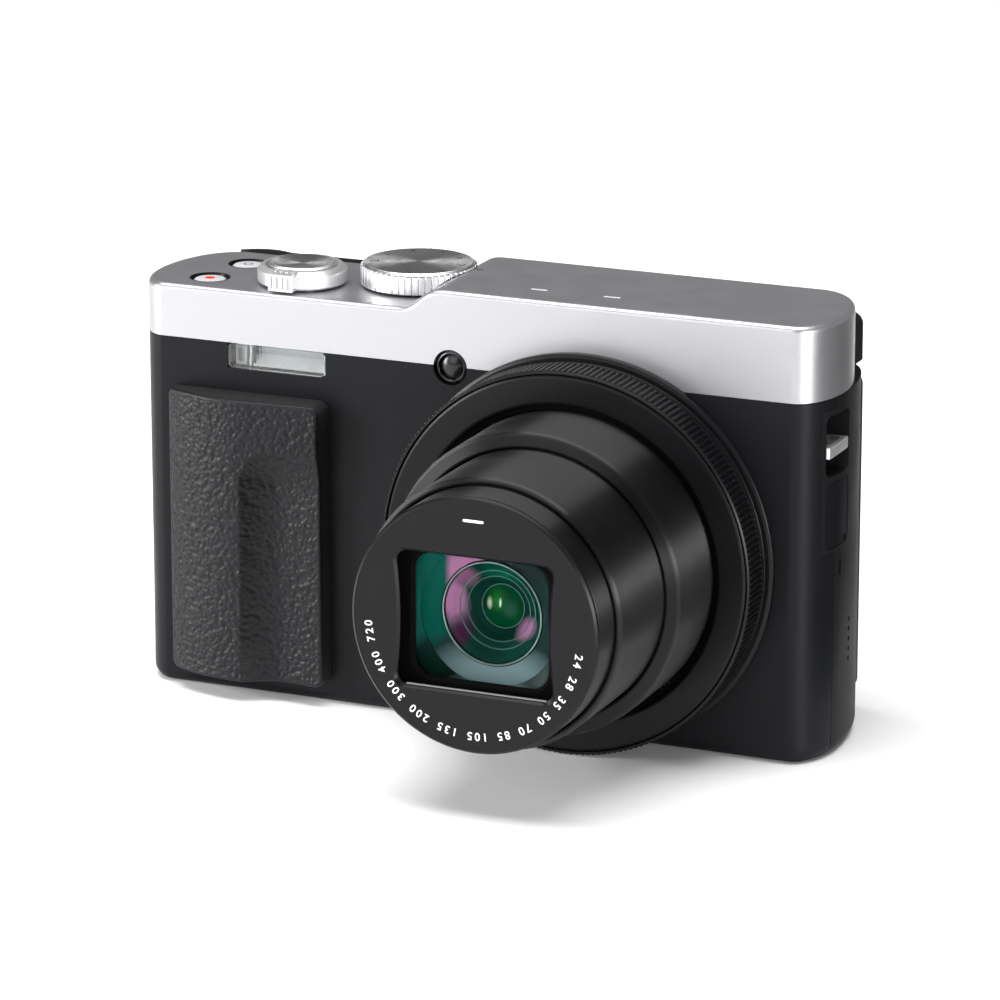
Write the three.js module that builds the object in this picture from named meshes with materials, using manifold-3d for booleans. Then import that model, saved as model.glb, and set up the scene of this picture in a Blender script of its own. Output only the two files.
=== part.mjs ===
// Compact travel-zoom digital camera, switched on with its lens run out to the wide end.
// Millimetres, +Z up, +X to the right as seen from the front, the lens points along -Y.
// The origin is on the flat base, midway along the body.
import * as THREE from 'three';
import { mergeVertices } from 'three/addons/utils/BufferGeometryUtils.js';
import Module from 'manifold-3d';

const wasm = await Module();
wasm.setup();

// ---- driving dimensions -------------------------------------------------------------------
const HALF_WIDTH = 56.1;         // half the body's widest width
const FRONT_Y = -14;             // flat front face of the body
const WIDEST_Y = -4.5;           // where the rounded ends are widest
const TOP_BACK_Y = 10;           // back edge of the silver top cover
const WALL_BACK_Y = 12.5;        // back of the black shell, behind it the monitor
const REAR_Y = 16.8;             // back of the rear control panel and the monitor
const SEAM_Y = -7.45;            // joint between the front and rear covers
const BAND_Z = 55.5;             // lower edge of the silver top cover
const DECK_Z = 63.7;             // lower deck with the buttons and the dial
const TOP_Z = 67.0;              // raised part of the top cover
const RAMP_LOW_X = -10.2;        // foot of the ramp between the two decks
const RAMP_HIGH_X = -6.35;       // top of that ramp
const WALL = 1.5;                // moulded wall thickness
const GAP = 0.1;                 // clearance between fitted pieces
const BASE_FILLET = 2;           // rounding of the lower edge
const TOP_FILLET = 0.9;          // rounding of the upper edges

const LENS_X = 18.9;             // optical axis
const LENS_Z = 29.6;
const RING_R = 29.5;             // control ring
const FLANGE_R = 30.2;           // fixed flange behind the ring
const RING_BACK_Y = -16.9;
const RING_FRONT_Y = -22.7;
const BEZEL_R = 28.75;
const SLEEVE_R = 28.2;           // fixed sleeve that the control ring turns on
const SLEEVE_BORE_R = 26.8;
const OUTER_R = 23.1;            // the three telescoping barrels
const OUTER_FRONT_Y = -34.2;
const MIDDLE_R = 20.4;
const MIDDLE_FRONT_Y = -50;
const FRONT_R = 19.1;
const FRONT_FRONT_Y = -55.9;
const WINDOW_W = 24.7;           // window in the name ring
const WINDOW_H = 20.1;
const WINDOW_CORNER = 2;

const DIAL_X = -14.57;           // mode dial
const DIAL_Y = 0.5;
const DIAL_R = 8.9;
const SHUTTER_X = -31.3;         // shutter button and the zoom lever round it
const SHUTTER_Y = -5.5;
const LEVER_R = 6.85;
const MOVIE_XY = [-45.85, -7.8];
const POWER_XY = [-44.3, 2.5];
const AF_LAMP_X = -3.05;
const AF_LAMP_Z = 55.3;

const GRIP = { x0: -49.8, x1: -23.1, z0: 3.2, z1: 48, ridgeX: -36.5, ridgeY: -19.5 };
const FLASH = { x0: -39.9, x1: -23.8, z0: 51.6, z1: 55.4 };
const SIDE_OPENING = { y0: -9.9, y1: -2.3 };
const DOOR_Z = [32.4, 42.5];     // terminal door
const STRAP_Z = [43.5, 52.8];    // strap recess above the door
const LUG_Z = [46.55, 48.3];     // strap bar across the recess
const BATTERY_DOOR = { x0: -52.4, x1: -20.6, y0: -11.4, y1: 5.6 };
const SPEAKER_YZ = [0.5, 16.5];
const TRIPOD_X = -8;
const TRIPOD_R = 3.175;          // quarter-inch socket

const MONITOR = { x0: -24.3, x1: 51.6, y0: 12.75, z0: 2.9, z1: 53.2 };
const HINGE_Y = 16.3;            // monitor hinge axis, along X
const HINGE_Z = 54.4;
const PANEL_X = 51.7;            // half-width of the flat rear panel
const REAR_DIAL_X = -38.5;
const REAR_DIAL_Z = 27;
const REAR_BUTTONS = {
  function_button: [-35.5, 42.6],
  playback_button: [-45.6, 12.6],
  delete_button: [-38.5, 10.8],
  display_button: [-31.4, 12.6],
};
const REAR_BUTTON_R = 2.5;

const FINE = 44;                 // sides of the large visible rings
const COARSE = 28;               // sides of hidden round pieces
const SMALL = 20;                // sides of small round pieces

// ---- solids -------------------------------------------------------------------------------
function signedVolume(position, index) {
  const a = new THREE.Vector3();
  const b = new THREE.Vector3();
  const c = new THREE.Vector3();
  let volume = 0;
  for (let i = 0; i < index.length; i += 3) {
    a.fromBufferAttribute(position, index[i]);
    b.fromBufferAttribute(position, index[i + 1]);
    c.fromBufferAttribute(position, index[i + 2]);
    volume += a.dot(b.cross(c)) / 6;
  }
  return volume;
}

// A closed geometry becomes a manifold solid with its faces outward.
function solid(geometry) {
  const bare = geometry.clone();
  bare.deleteAttribute('normal');
  bare.deleteAttribute('uv');
  const merged = mergeVertices(bare, 1e-4);
  const source = merged.index.array;
  const index = [];
  for (let i = 0; i < source.length; i += 3) {
    const [p, q, r] = [source[i], source[i + 1], source[i + 2]];
    if (p !== q && q !== r && r !== p) index.push(p, q, r);
  }
  if (signedVolume(merged.attributes.position, index) < 0) index.reverse();
  return new wasm.Manifold(new wasm.Mesh({
    numProp: 3,
    vertProperties: Float32Array.from(merged.attributes.position.array),
    triVerts: Uint32Array.from(index),
  }));
}

function join(...solids) {
  return solids.reduce((sum, next) => sum.add(next));
}

function cut(body, ...tools) {
  return tools.reduce((left, tool) => left.subtract(tool), body);
}

function toGeometry(body) {
  const mesh = body.getMesh();
  const geometry = new THREE.BufferGeometry();
  geometry.setAttribute('position', new THREE.BufferAttribute(mesh.vertProperties, 3));
  geometry.setIndex(new THREE.BufferAttribute(mesh.triVerts, 1));
  geometry.computeVertexNormals();
  return geometry;
}

function box(x0, x1, y0, y1, z0, z1) {
  const geometry = new THREE.BoxGeometry(x1 - x0, y1 - y0, z1 - z0);
  geometry.translate((x0 + x1) / 2, (y0 + y1) / 2, (z0 + z1) / 2);
  return solid(geometry);
}

// Axis changes that turn an extrusion along Z into one along Y or along X.
const ALONG_Y = new THREE.Matrix4().set(1, 0, 0, 0, 0, 0, 1, 0, 0, 1, 0, 0, 0, 0, 0, 1);
const ALONG_X = new THREE.Matrix4().set(0, 0, 1, 0, 1, 0, 0, 0, 0, 1, 0, 0, 0, 0, 0, 1);

// A flat outline pushed from a to b along 'x', 'y' or 'z', its far edges rounded by bevel.
function prism(axis, shape, a, b, bevel = 0) {
  const geometry = new THREE.ExtrudeGeometry(shape, {
    depth: b - a - 2 * bevel,
    steps: 1,
    curveSegments: 4,
    bevelEnabled: bevel > 0,
    bevelThickness: bevel,
    bevelSize: bevel,
    bevelOffset: -bevel,
    bevelSegments: 2,
  });
  geometry.translate(0, 0, a + bevel);
  if (axis === 'y') geometry.applyMatrix4(ALONG_Y);
  if (axis === 'x') geometry.applyMatrix4(ALONG_X);
  return solid(geometry);
}

function polygon(points) {
  return new THREE.Shape(points.map(([u, v]) => new THREE.Vector2(u, v)));
}

function roundedRect(u0, u1, v0, v1, r) {
  const shape = new THREE.Shape();
  shape.moveTo(u0 + r, v0);
  shape.lineTo(u1 - r, v0);
  shape.absarc(u1 - r, v0 + r, r, -Math.PI / 2, 0, false);
  shape.lineTo(u1, v1 - r);
  shape.absarc(u1 - r, v1 - r, r, 0, Math.PI / 2, false);
  shape.lineTo(u0 + r, v1);
  shape.absarc(u0 + r, v1 - r, r, Math.PI / 2, Math.PI, false);
  shape.lineTo(u0, v0 + r);
  shape.absarc(u0 + r, v0 + r, r, Math.PI, Math.PI * 1.5, false);
  return shape;
}

// A solid of revolution about Y, Z or X through a centre given in the other two directions.
function turned(axis, profile, centre, sides = SMALL) {
  const points = profile.map(([r, s]) => new THREE.Vector2(r, s));
  const geometry = new THREE.LatheGeometry(points, sides);
  if (axis === 'z') geometry.rotateX(Math.PI / 2);
  if (axis === 'x') geometry.rotateZ(-Math.PI / 2);
  const [p, q] = centre;
  if (axis === 'y') geometry.translate(p, 0, q);
  if (axis === 'z') geometry.translate(p, q, 0);
  if (axis === 'x') geometry.translate(0, p, q);
  return solid(geometry);
}

function rod(axis, r, a, b, centre, sides = SMALL) {
  return turned(axis, [[0, a], [r, a], [r, b], [0, b]], centre, sides);
}

function tube(axis, inner, outer, a, b, centre, sides = SMALL) {
  const profile = [[inner, a], [outer, a], [outer, b], [inner, b], [inner, a]];
  return turned(axis, profile, centre, sides);
}

const LENS = [LENS_X, LENS_Z];

function lensTurned(profile, sides = FINE) {
  return turned('y', profile, LENS, sides);
}

function lensTube(inner, outer, a, b, sides = FINE) {
  return tube('y', inner, outer, a, b, LENS, sides);
}

// ---- the body's plan outline --------------------------------------------------------------
// Flat front, bulging ends and a flat back: each end is a short and a long quarter ellipse.
// A corner gives where the flat back starts; the top cover's back corners are rounder.
const BODY_CORNER = { x: 50, y: WALL_BACK_Y };
const TOP_CORNER = { x: 47.2, y: TOP_BACK_Y };

function planOutline(inset, backY, corner) {
  const reachX = HALF_WIDTH - inset;
  const frontReach = WIDEST_Y - FRONT_Y - inset;
  const backReach = corner.y - WIDEST_Y - inset;
  const flatX = 51;
  const points = [];
  const steps = 6;
  for (let i = 0; i <= steps; i += 1) {
    const t = (i / steps) * (Math.PI / 2);
    points.push([
      flatX + (reachX - flatX) * Math.sin(t),
      WIDEST_Y - frontReach * Math.cos(t),
    ]);
  }
  for (let i = 1; i <= steps; i += 1) {
    const t = (i / steps) * (Math.PI / 2);
    const y = WIDEST_Y + backReach * Math.sin(t);
    points.push([corner.x + (reachX - corner.x) * Math.cos(t), Math.min(y, backY)]);
  }
  const mirrored = points.map(([x, y]) => [-x, y]).reverse();
  return polygon([...points, ...mirrored]);
}

// The plan outline between two heights, with the lower and the upper edge rounded or square.
function slab(inset, backY, z0, z1, lowFillet, highFillet, corner = BODY_CORNER) {
  const fillet = Math.max(lowFillet, highFillet);
  const outline = planOutline(inset, backY, corner);
  const low = lowFillet ? z0 : z0 - fillet;
  const high = highFillet ? z1 : z1 + fillet;
  const whole = prism('z', outline, low, high, fillet);
  return whole.intersect(box(-80, 80, -80, 80, z0, z1));
}

// ---- openings shared by several pieces ----------------------------------------------------
function sideOpening(grow, zRange) {
  const { y0, y1 } = SIDE_OPENING;
  return prism('x', roundedRect(y0 - grow, y1 + grow, zRange[0] - grow, zRange[1] + grow, 1.2), 49.4, 60);
}

function lensHole() {
  return rod('y', SLEEVE_BORE_R + 0.4, -20, 8, LENS, FINE);
}

function batteryDoorShape(grow) {
  const { x0, x1, y0, y1 } = BATTERY_DOOR;
  return roundedRect(x0 - grow, x1 + grow, y0 - grow, y1 + grow, 1.5);
}

const BASE_SCREWS = { base_screw_left: [-16.6, -3.5], base_screw_right: [44, 5.5] };
const SCREW_HEAD_R = 1.6;
const SCREW_SHANK_R = 0.8;

function screwHoles() {
  return join(...Object.values(BASE_SCREWS).map((at) => join(
    rod('z', SCREW_HEAD_R + 0.2, -1, 0.95, at, 16),
    rod('z', SCREW_SHANK_R + 0.2, 0.9, 3, at, 16),
  )));
}

// ---- shells -------------------------------------------------------------------------------
function bodyShell() {
  const outer = slab(0, WALL_BACK_Y, 0, BAND_Z - GAP, BASE_FILLET, 0);
  const inner = slab(WALL, 10.5, WALL, BAND_Z + 1, 0, 0);
  const doorway = prism('z', batteryDoorShape(GAP), -1, WALL + 0.1);
  return cut(outer, inner, doorway, screwHoles());
}

function frontCover(shell) {
  const frontHalf = shell.intersect(box(-60, 60, -20, SEAM_Y - GAP / 2, -1, 60));
  const flashHole = box(FLASH.x0 - GAP, FLASH.x1 + GAP, -20, -10, FLASH.z0 - GAP, 60);
  const lampHole = rod('y', 2.75, -20, -10, [AF_LAMP_X, AF_LAMP_Z], 24);
  const doorZone = box(48, 60, SIDE_OPENING.y0 - 1, 0, DOOR_Z[0] - 1, STRAP_Z[1] + 1);
  return cut(frontHalf, lensHole(), flashHole, lampHole, doorZone);
}

function rearCover(shell) {
  const rearHalf = shell.intersect(box(-60, 60, SEAM_Y + GAP / 2, 20, -1, 60));
  const { y0 } = SIDE_OPENING;
  const outline = slab(0, WALL_BACK_Y, 0, BAND_Z - GAP, 0, 0);
  const frame = box(48.7, 60, y0 - 0.9, SIDE_OPENING.y1 + 0.9, DOOR_Z[0] - 0.9, STRAP_Z[1] + 0.9);
  const framed = join(rearHalf, frame.intersect(outline));
  const behindWall = box(-60, 60, 11.45, 20, 0, 70);
  const behindTop = box(-60, 60, TOP_BACK_Y + 0.15, 20, BAND_Z + GAP, 70);
  const panel = prism('y', roundedRect(-PANEL_X, PANEL_X, 2.4, 62.5, 3), 8, REAR_Y, 1)
    .intersect(join(behindWall, behindTop));
  const body = join(framed, panel);
  const bay = box(MONITOR.x0 - 0.7, 60, MONITOR.y0 - 0.15, 20, -1, HINGE_Z + 0.8);
  const railBack = box(MONITOR.x0 - 0.7, 60, HINGE_Y - 0.9, 20, 50, 70);
  const controlCavity = box(-50.2, -27, 9, REAR_Y - WALL, 4.2, 60.8);
  const strapPocket = sideOpening(0, STRAP_Z);
  const doorHole = sideOpening(0, DOOR_Z).intersect(box(50, 60, -20, 20, 0, 60));
  const socketHole = box(48, 51, y0 + 0.4, SIDE_OPENING.y1 - 0.1, DOOR_Z[0] + 0.4, DOOR_Z[1] - 0.2);
  const notch = prism('x', roundedRect(-5.9, -4.9, 27.6, 30.2, 0.45), 55, 60);
  const tripodHole = rod('z', 4.7, -1, 3, [TRIPOD_X, 0], 32);
  const speakerHoles = [0, 1, 2, 3, 4].map((i) => rod('x', 0.45, 50, 60, [-0.7, 13.4 + 1.55 * i], 10));
  const dialHole = rod('y', 6.2, 10, 20, [REAR_DIAL_X, REAR_DIAL_Z], 32);
  const buttonHoles = Object.values(REAR_BUTTONS)
    .map((at) => rod('y', REAR_BUTTON_R + 0.15, 10, 20, at, 24));
  return cut(body, bay, railBack, controlCavity, strapPocket, doorHole, socketHole, notch,
    tripodHole, ...speakerHoles, dialHole, ...buttonHoles);
}

function topCover() {
  const low = slab(0, TOP_BACK_Y, BAND_Z, DECK_Z, 0, TOP_FILLET, TOP_CORNER);
  const rampFoot = RAMP_LOW_X - (RAMP_HIGH_X - RAMP_LOW_X);
  const rampDrop = TOP_Z - DECK_Z;
  const rampZone = polygon([
    [rampFoot, DECK_Z - rampDrop], [RAMP_HIGH_X, TOP_Z], [RAMP_HIGH_X + 1, TOP_Z + 1],
    [80, TOP_Z + 1], [80, DECK_Z - rampDrop],
  ]);
  const high = slab(0, TOP_BACK_Y, BAND_Z, TOP_Z, 0, TOP_FILLET, TOP_CORNER)
    .intersect(prism('y', rampZone, -20, 20));
  const skin = 1.3;
  const roomBack = TOP_BACK_Y - skin;
  const lowRoom = slab(skin, roomBack, BAND_Z - 1, DECK_Z - skin, 0, 0, TOP_CORNER);
  const highRoom = slab(skin, roomBack, BAND_Z - 1, TOP_Z - skin, 0, 0, TOP_CORNER)
    .intersect(box(-3.6, 80, -20, 20, 0, 80));
  const dialPocket = rod('z', DIAL_R + 0.35, DECK_Z, TOP_Z + 3, [DIAL_X, DIAL_Y], 36);
  const dialHole = rod('z', 2.3, 60, 65, [DIAL_X, DIAL_Y], 20);
  const leverHole = rod('z', 3.9, 60, 65, [SHUTTER_X, SHUTTER_Y], 24);
  const buttonWells = [MOVIE_XY, POWER_XY].map((at) => join(
    rod('z', 3.15, DECK_Z - 0.7, DECK_Z + 1, at, 24),
    rod('z', 2.65, 60, DECK_Z, at, 24),
  ));
  const micSlots = [8.6, 20.3].map((x) => box(x - 1.4, x + 1.4, -7.85, -7.15, 60, 70));
  const lampHole = rod('y', 2.75, -20, -10, [AF_LAMP_X, AF_LAMP_Z], 24);
  return cut(join(low, high), lowRoom, highRoom, dialPocket, dialHole, leverHole,
    ...buttonWells, ...micSlots, lampHole, lensHole());
}

function frontGrip() {
  const face = FRONT_Y - 0.05;
  const { x0, x1, z0, z1, ridgeX, ridgeY } = GRIP;
  const ridge = polygon([
    [x0, face], [x0, face - 0.8], [x0 + 2.6, face - 3.2], [ridgeX - 5.5, ridgeY + 0.5],
    [ridgeX, ridgeY], [ridgeX + 0.8, ridgeY + 0.2], [ridgeX + 6, ridgeY + 2.7],
    [x1 - 0.5, ridgeY + 2.1], [x1, ridgeY + 2.7], [x1, face],
  ]);
  const brow = polygon([
    [x0, face], [x0, face - 0.8], [x0 + 2.6, face - 3.2], [ridgeX - 5.5, ridgeY + 0.5],
    [ridgeX, ridgeY], [x1 - 0.6, ridgeY + 1], [x1, ridgeY + 1.7], [x1, face],
  ]);
  return join(prism('z', ridge, z0, z1), prism('z', brow, z1 - 7.6, z1));
}

function thumbRest() {
  const foot = REAR_Y + 0.05;
  const outline = polygon([
    [-52.6, foot], [-50.4, foot + 1.2], [-48, foot + 2], [-45.6, foot + 1.6],
    [-43.4, foot + 0.7], [-42.2, foot],
  ]);
  return prism('z', outline, 47, 62);
}

// ---- lens unit ----------------------------------------------------------------------------
function lensBaseRing() {
  const ring = lensTurned([
    [SLEEVE_BORE_R, -11], [SLEEVE_BORE_R + 0.3, -11], [SLEEVE_BORE_R + 0.3, FRONT_Y - 0.05],
    [FLANGE_R, FRONT_Y - 0.05], [FLANGE_R, -14.9], [FLANGE_R - 0.3, -15.2], [28.7, -15.2],
    [28.7, -16.6], [SLEEVE_R, -16.6], [SLEEVE_R, -22.1], [SLEEVE_BORE_R, -22.1], [SLEEVE_BORE_R, -11],
  ]);
  return cut(ring, box(-40, 80, -40, 0, -10, 0.15));
}

function controlRing() {
  return lensTurned([
    [28.35, RING_BACK_Y], [RING_R - 0.3, RING_BACK_Y], [RING_R, RING_BACK_Y - 0.3],
    [RING_R, RING_FRONT_Y + 0.45], [RING_R - 0.5, RING_FRONT_Y], [28.95, RING_FRONT_Y],
    [28.95, -21.9], [28.35, -21.9], [28.35, RING_BACK_Y],
  ]);
}

function frontBezel() {
  return lensTurned([
    [24.4, -22.15], [24.4, -22.35], [24.9, -22.55], [BEZEL_R - 0.2, -22.75],
    [BEZEL_R, -22.6], [BEZEL_R, -22.15], [24.4, -22.15],
  ]);
}

function barrel(outerR, wall, frontY, backY, lipR) {
  return lensTurned([
    [outerR - wall, backY], [outerR, backY], [outerR, frontY + 0.4], [outerR - 0.4, frontY],
    [lipR, frontY], [lipR, frontY + 0.8], [outerR - wall, frontY + 0.8], [outerR - wall, backY],
  ]);
}

function frontBarrel() {
  const back = -31.9;
  const front = FRONT_FRONT_Y + 0.9;
  return lensTurned([
    [17.9, back], [FRONT_R, back], [FRONT_R, front], [18.6, front], [18.6, -53.35],
    [17.9, -53.35], [17.9, back],
  ]);
}

function windowShape(grow) {
  return roundedRect(
    LENS_X - WINDOW_W / 2 - grow, LENS_X + WINDOW_W / 2 + grow,
    LENS_Z - WINDOW_H / 2 - grow, LENS_Z + WINDOW_H / 2 + grow, WINDOW_CORNER,
  );
}

function nameRing() {
  const disc = lensTurned([
    [0, -55.1], [FRONT_R, -55.1], [FRONT_R, FRONT_FRONT_Y + 0.35],
    [FRONT_R - 0.35, FRONT_FRONT_Y], [0, FRONT_FRONT_Y],
  ]);
  return cut(disc, prism('y', windowShape(0), -60, -50));
}

// One leaf of the lens cover: what the name ring's rim hides above or below the window.
function barrierBlade(side, frontY, lowest, clearWindow) {
  const reach = 18.4;
  const disc = rod('y', reach, frontY, frontY + 0.35, LENS, FINE);
  const z0 = side > 0 ? LENS_Z + lowest : LENS_Z - 40;
  const z1 = side > 0 ? LENS_Z + 40 : LENS_Z - lowest;
  const leaf = disc.intersect(box(-20, 60, -60, -50, z0, z1));
  return clearWindow ? cut(leaf, prism('y', windowShape(0.12), -60, -50)) : leaf;
}

function frontLensCell() {
  const cell = lensTurned([
    [0, -53.3], [17.8, -53.3], [17.8, -44], [15.2, -44], [15.2, -52.6], [0, -52.6],
  ]);
  const opening = roundedRect(LENS_X - 11.6, LENS_X + 11.6, LENS_Z - 9.4, LENS_Z + 9.4, 3);
  return cut(cell, prism('y', opening, -60, -52));
}

// A lens element: two spherical faces given by their sag, and a cylindrical edge.
function lensElement(r, frontY, frontSag, backY, backSag) {
  const steps = 3;
  const profile = [];
  for (let i = 0; i <= steps; i += 1) {
    const t = i / steps;
    profile.push([r * t, frontY + frontSag * t * t]);
  }
  for (let i = steps; i >= 0; i -= 1) {
    const t = i / steps;
    profile.push([r * t, backY + backSag * t * t]);
  }
  return lensTurned(profile, COARSE);
}

function zoomLensGroup() {
  const holder = lensTurned([
    [10.3, -30], [11.8, -30], [11.8, -23.6], [19.45, -23.6], [19.45, -22.2], [10.3, -22.2], [10.3, -30],
  ], COARSE);
  return join(holder, lensElement(10.5, -29.4, 1.1, -25.2, -1));
}

function rearLensGroup() {
  const holder = lensTube(7.2, 8.6, 2.2, 6.4, COARSE);
  return join(holder, lensElement(7.4, 2.9, 0.7, 5.6, -0.6));
}

function lensHousing() {
  return lensTurned([
    [25, 6.4], [26.4, 6.4], [26.4, -21.9], [25, -21.9], [25, 6.4],
  ], COARSE);
}

function sensorPlate() {
  const plate = lensTurned([[0, 6.5], [26.3, 6.5], [26.3, 7.3], [0, 7.3]], COARSE);
  return cut(plate, box(LENS_X - 7.6, LENS_X + 7.6, 0, 10, LENS_Z - 6.6, LENS_Z + 6.6));
}

function sensorModule() {
  const sensor = box(LENS_X - 7.2, LENS_X + 7.2, 6.6, 7.9, LENS_Z - 6.2, LENS_Z + 6.2);
  const board = box(LENS_X - 14, LENS_X + 14, 7.6, 8.4, LENS_Z - 12, LENS_Z + 12);
  return join(sensor, board);
}

function zoomMotor() {
  const motor = rod('y', 3.3, -6.5, 3.5, [-5.2, 49.4], 24);
  const gearbox = box(-8.6, -2, 3.4, 6, 46, 53);
  return join(motor, gearbox);
}

// ---- boards, power and sockets ------------------------------------------------------------
function mainBoard() {
  const board = box(-19, 46, 8.65, 9.45, 5, 53);
  const chips = [[-17.5, -10.5, 34, 42], [-17, -12, 18, 24], [-16.5, -11, 10, 13]]
    .map(([x0, x1, z0, z1]) => box(x0, x1, 7.4, 8.8, z0, z1));
  return join(board, ...chips);
}

function batteryCompartment() {
  const outer = box(-52.3, -19.8, -11.2, 5.2, 1.7, 51.2);
  const well = box(-51.7, -20.4, -10.6, 0.5, 0, 50.5);
  const cardSlot = box(-49.3, -24.7, 1.7, 4.4, 0, 36.5);
  return cut(outer, well, cardSlot);
}

function batteryPack() {
  return prism('z', roundedRect(-51.4, -20.7, -10.4, 0.3, 2), 3.2, 49.8);
}

function memoryCard() {
  const outline = polygon([[-49, 4], [-25, 4], [-25, 36], [-46.2, 36], [-49, 33.2]]);
  return prism('y', outline, 1.95, 4.1);
}

function flashUnit() {
  const trough = box(FLASH.x0 + 2.4, FLASH.x1 - 0.6, -12.1, -7, 51.6, 56.6);
  const mouth = box(FLASH.x0 + 3, FLASH.x1 - 1.2, -13, -7.8, 52.2, 56);
  const xenonTube = rod('x', 0.9, FLASH.x0 + 2.6, FLASH.x1 - 0.8, [-8.9, 54.1], 14);
  return join(cut(trough, mouth), xenonTube);
}

function shellSocket(y0, y1, z0, z1, depth) {
  const mouthX = 53.2;
  const can = prism('x', roundedRect(y0, y1, z0, z1, 0.6), mouthX - depth, mouthX);
  const bore = box(mouthX - depth + 0.6, mouthX + 1, y0 + 0.35, y1 - 0.35, z0 + 0.35, z1 - 0.35);
  const middle = (y0 + y1) / 2;
  const tongue = box(mouthX - depth + 0.3, mouthX - 0.6, middle - 0.35, middle + 0.35, z0 + 1.2, z1 - 1.2);
  return join(cut(can, bore), tongue);
}

function tripodSocket() {
  const profile = [
    [TRIPOD_R, 0.15], [4.55, 0.15], [4.55, 5.2], [3.9, 6.4], [0, 6.4], [0, 5.8], [TRIPOD_R, 5.8],
    [TRIPOD_R, 0.15],
  ];
  return turned('z', profile.map(([r, z]) => [r, z]), [TRIPOD_X, 0], 32);
}

function baseScrew() {
  const head = rod('z', SCREW_HEAD_R, 0.3, 0.85, [0, 0], 16);
  return join(head, rod('z', SCREW_SHANK_R, 0.8, 3.6, [0, 0], 16));
}

function speaker() {
  return turned('x', [[0, 49.9], [4, 49.9], [5, 50.9], [5, 53.1], [0, 53.1]], SPEAKER_YZ, SMALL);
}

// ---- doors, strap lug and window pieces ---------------------------------------------------
function terminalDoor() {
  const skin = cut(slab(0.05, WALL_BACK_Y, 0, 60, 0, 0), slab(1.25, WALL_BACK_Y, -1, 61, 0, 0));
  const { y0, y1 } = SIDE_OPENING;
  const gate = prism('x', roundedRect(y0 + GAP, y1 - GAP, DOOR_Z[0] + GAP, DOOR_Z[1] - GAP, 1.1), 50, 60);
  return skin.intersect(gate);
}

// A flat bar across the strap recess, flush with the body's side, on two legs.
function strapLug() {
  const { y0, y1 } = SIDE_OPENING;
  const legX = 52.4;
  const outline = new THREE.Shape();
  outline.moveTo(55.3, y0 - 0.6);
  outline.lineTo(55.95, y0 - 0.45);
  outline.quadraticCurveTo(56.2, (y0 + y1) / 2, 56, y1 - 0.15);
  outline.lineTo(legX, y1 - 0.15);
  outline.lineTo(legX, y1 - 0.85);
  outline.lineTo(54.9, y1 - 0.85);
  outline.quadraticCurveTo(55.1, (y0 + y1) / 2, 54.9, y0 + 0.85);
  outline.lineTo(legX, y0 + 0.85);
  outline.lineTo(legX, y0 + 0.15);
  outline.lineTo(55.2, y0 + 0.15);
  return prism('z', outline, ...LUG_Z);
}

function batteryDoor() {
  const plate = prism('z', batteryDoorShape(-GAP), 0.2, WALL - 0.1);
  const latchSlot = box(-39, -31, -9.9, -7.1, 0, 0.8);
  return cut(plate, latchSlot);
}

function batteryDoorLatch() {
  return prism('z', roundedRect(-38.8, -34, -9.8, -7.2, 1), 0.3, 0.7);
}

// ---- monitor ------------------------------------------------------------------------------
const ARM_X = [[-17.2, -12.8], [39.8, 44.2]];

function monitorHousing() {
  const { x0, x1, y0, z0, z1 } = MONITOR;
  const tray = prism('y', roundedRect(x0, x1, z0, z1, 2), y0, REAR_Y - 0.4, 0.5);
  const pocket = box(x0 + 1, x1 - 1, 14, 20, z0 + 1, z1 - 1);
  const arms = ARM_X.map(([a, b]) => join(
    box(a, b, HINGE_Y - 1, HINGE_Y + 0.1, z1 - 1.6, HINGE_Z),
    rod('x', 1.05, a, b, [HINGE_Y, HINGE_Z], 16),
  ));
  const bores = ARM_X.map(([a, b]) => rod('x', 0.65, a - 1, b + 1, [HINGE_Y, HINGE_Z], 16));
  const clearBack = box(x0 + 1, x1 - 1, REAR_Y - 0.95, 20, z0 + 1, z1 - 1);
  return cut(join(cut(tray, pocket), ...arms), ...bores, clearBack);
}

function monitorScreen() {
  const { x0, x1, z0, z1 } = MONITOR;
  const pane = roundedRect(x0 + 1.1, x1 - 1.1, z0 + 1.1, z1 - 1.1, 1.2);
  const glass = prism('y', pane, REAR_Y - 0.9, REAR_Y - 0.05);
  const display = box(x0 + 3, x1 - 3, 14.1, REAR_Y - 0.8, z0 + 3, z1 - 3);
  return join(glass, display);
}

function monitorHinge() {
  const ears = ARM_X.flatMap(([a, b]) => [[a - 2, a - 0.15], [b + 0.15, b + 2]]).map(([p, q]) => join(
    rod('x', 1.05, p, q, [HINGE_Y, HINGE_Z], 16),
    box(p, q, HINGE_Y - 2.4, HINGE_Y - 0.05, HINGE_Z - 0.5, HINGE_Z + 0.7),
  ));
  const pin = rod('x', 0.5, ARM_X[0][0] - 1, ARM_X[1][1] + 1, [HINGE_Y, HINGE_Z], 12);
  return join(...ears, pin);
}

// ---- controls -----------------------------------------------------------------------------
function modeDial() {
  const knob = turned('z', [
    [0, 63.9], [DIAL_R - 0.3, 63.9], [DIAL_R, 64.2], [DIAL_R, 67], [DIAL_R - 0.4, 67.4], [0, 67.4],
  ], [0, 0], 40);
  const shaft = rod('z', 2, 61, 64, [0, 0], 20);
  return join(knob, shaft);
}

function zoomLever() {
  const ring = turned('z', [
    [2.7, 61.7], [3.6, 61.7], [3.6, 64], [LEVER_R, 64], [LEVER_R, 66.2], [LEVER_R - 0.7, 66.8],
    [5.5, 66.8], [5.5, 65], [2.7, 65], [2.7, 61.7],
  ], [0, 0], 32);
  const tab = prism('x', polygon([[-5.7, 64.1], [-8, 64.1], [-8, 66.5], [-5.7, 67.1]]), -2.3, 2.3);
  return join(ring, tab);
}

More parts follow.
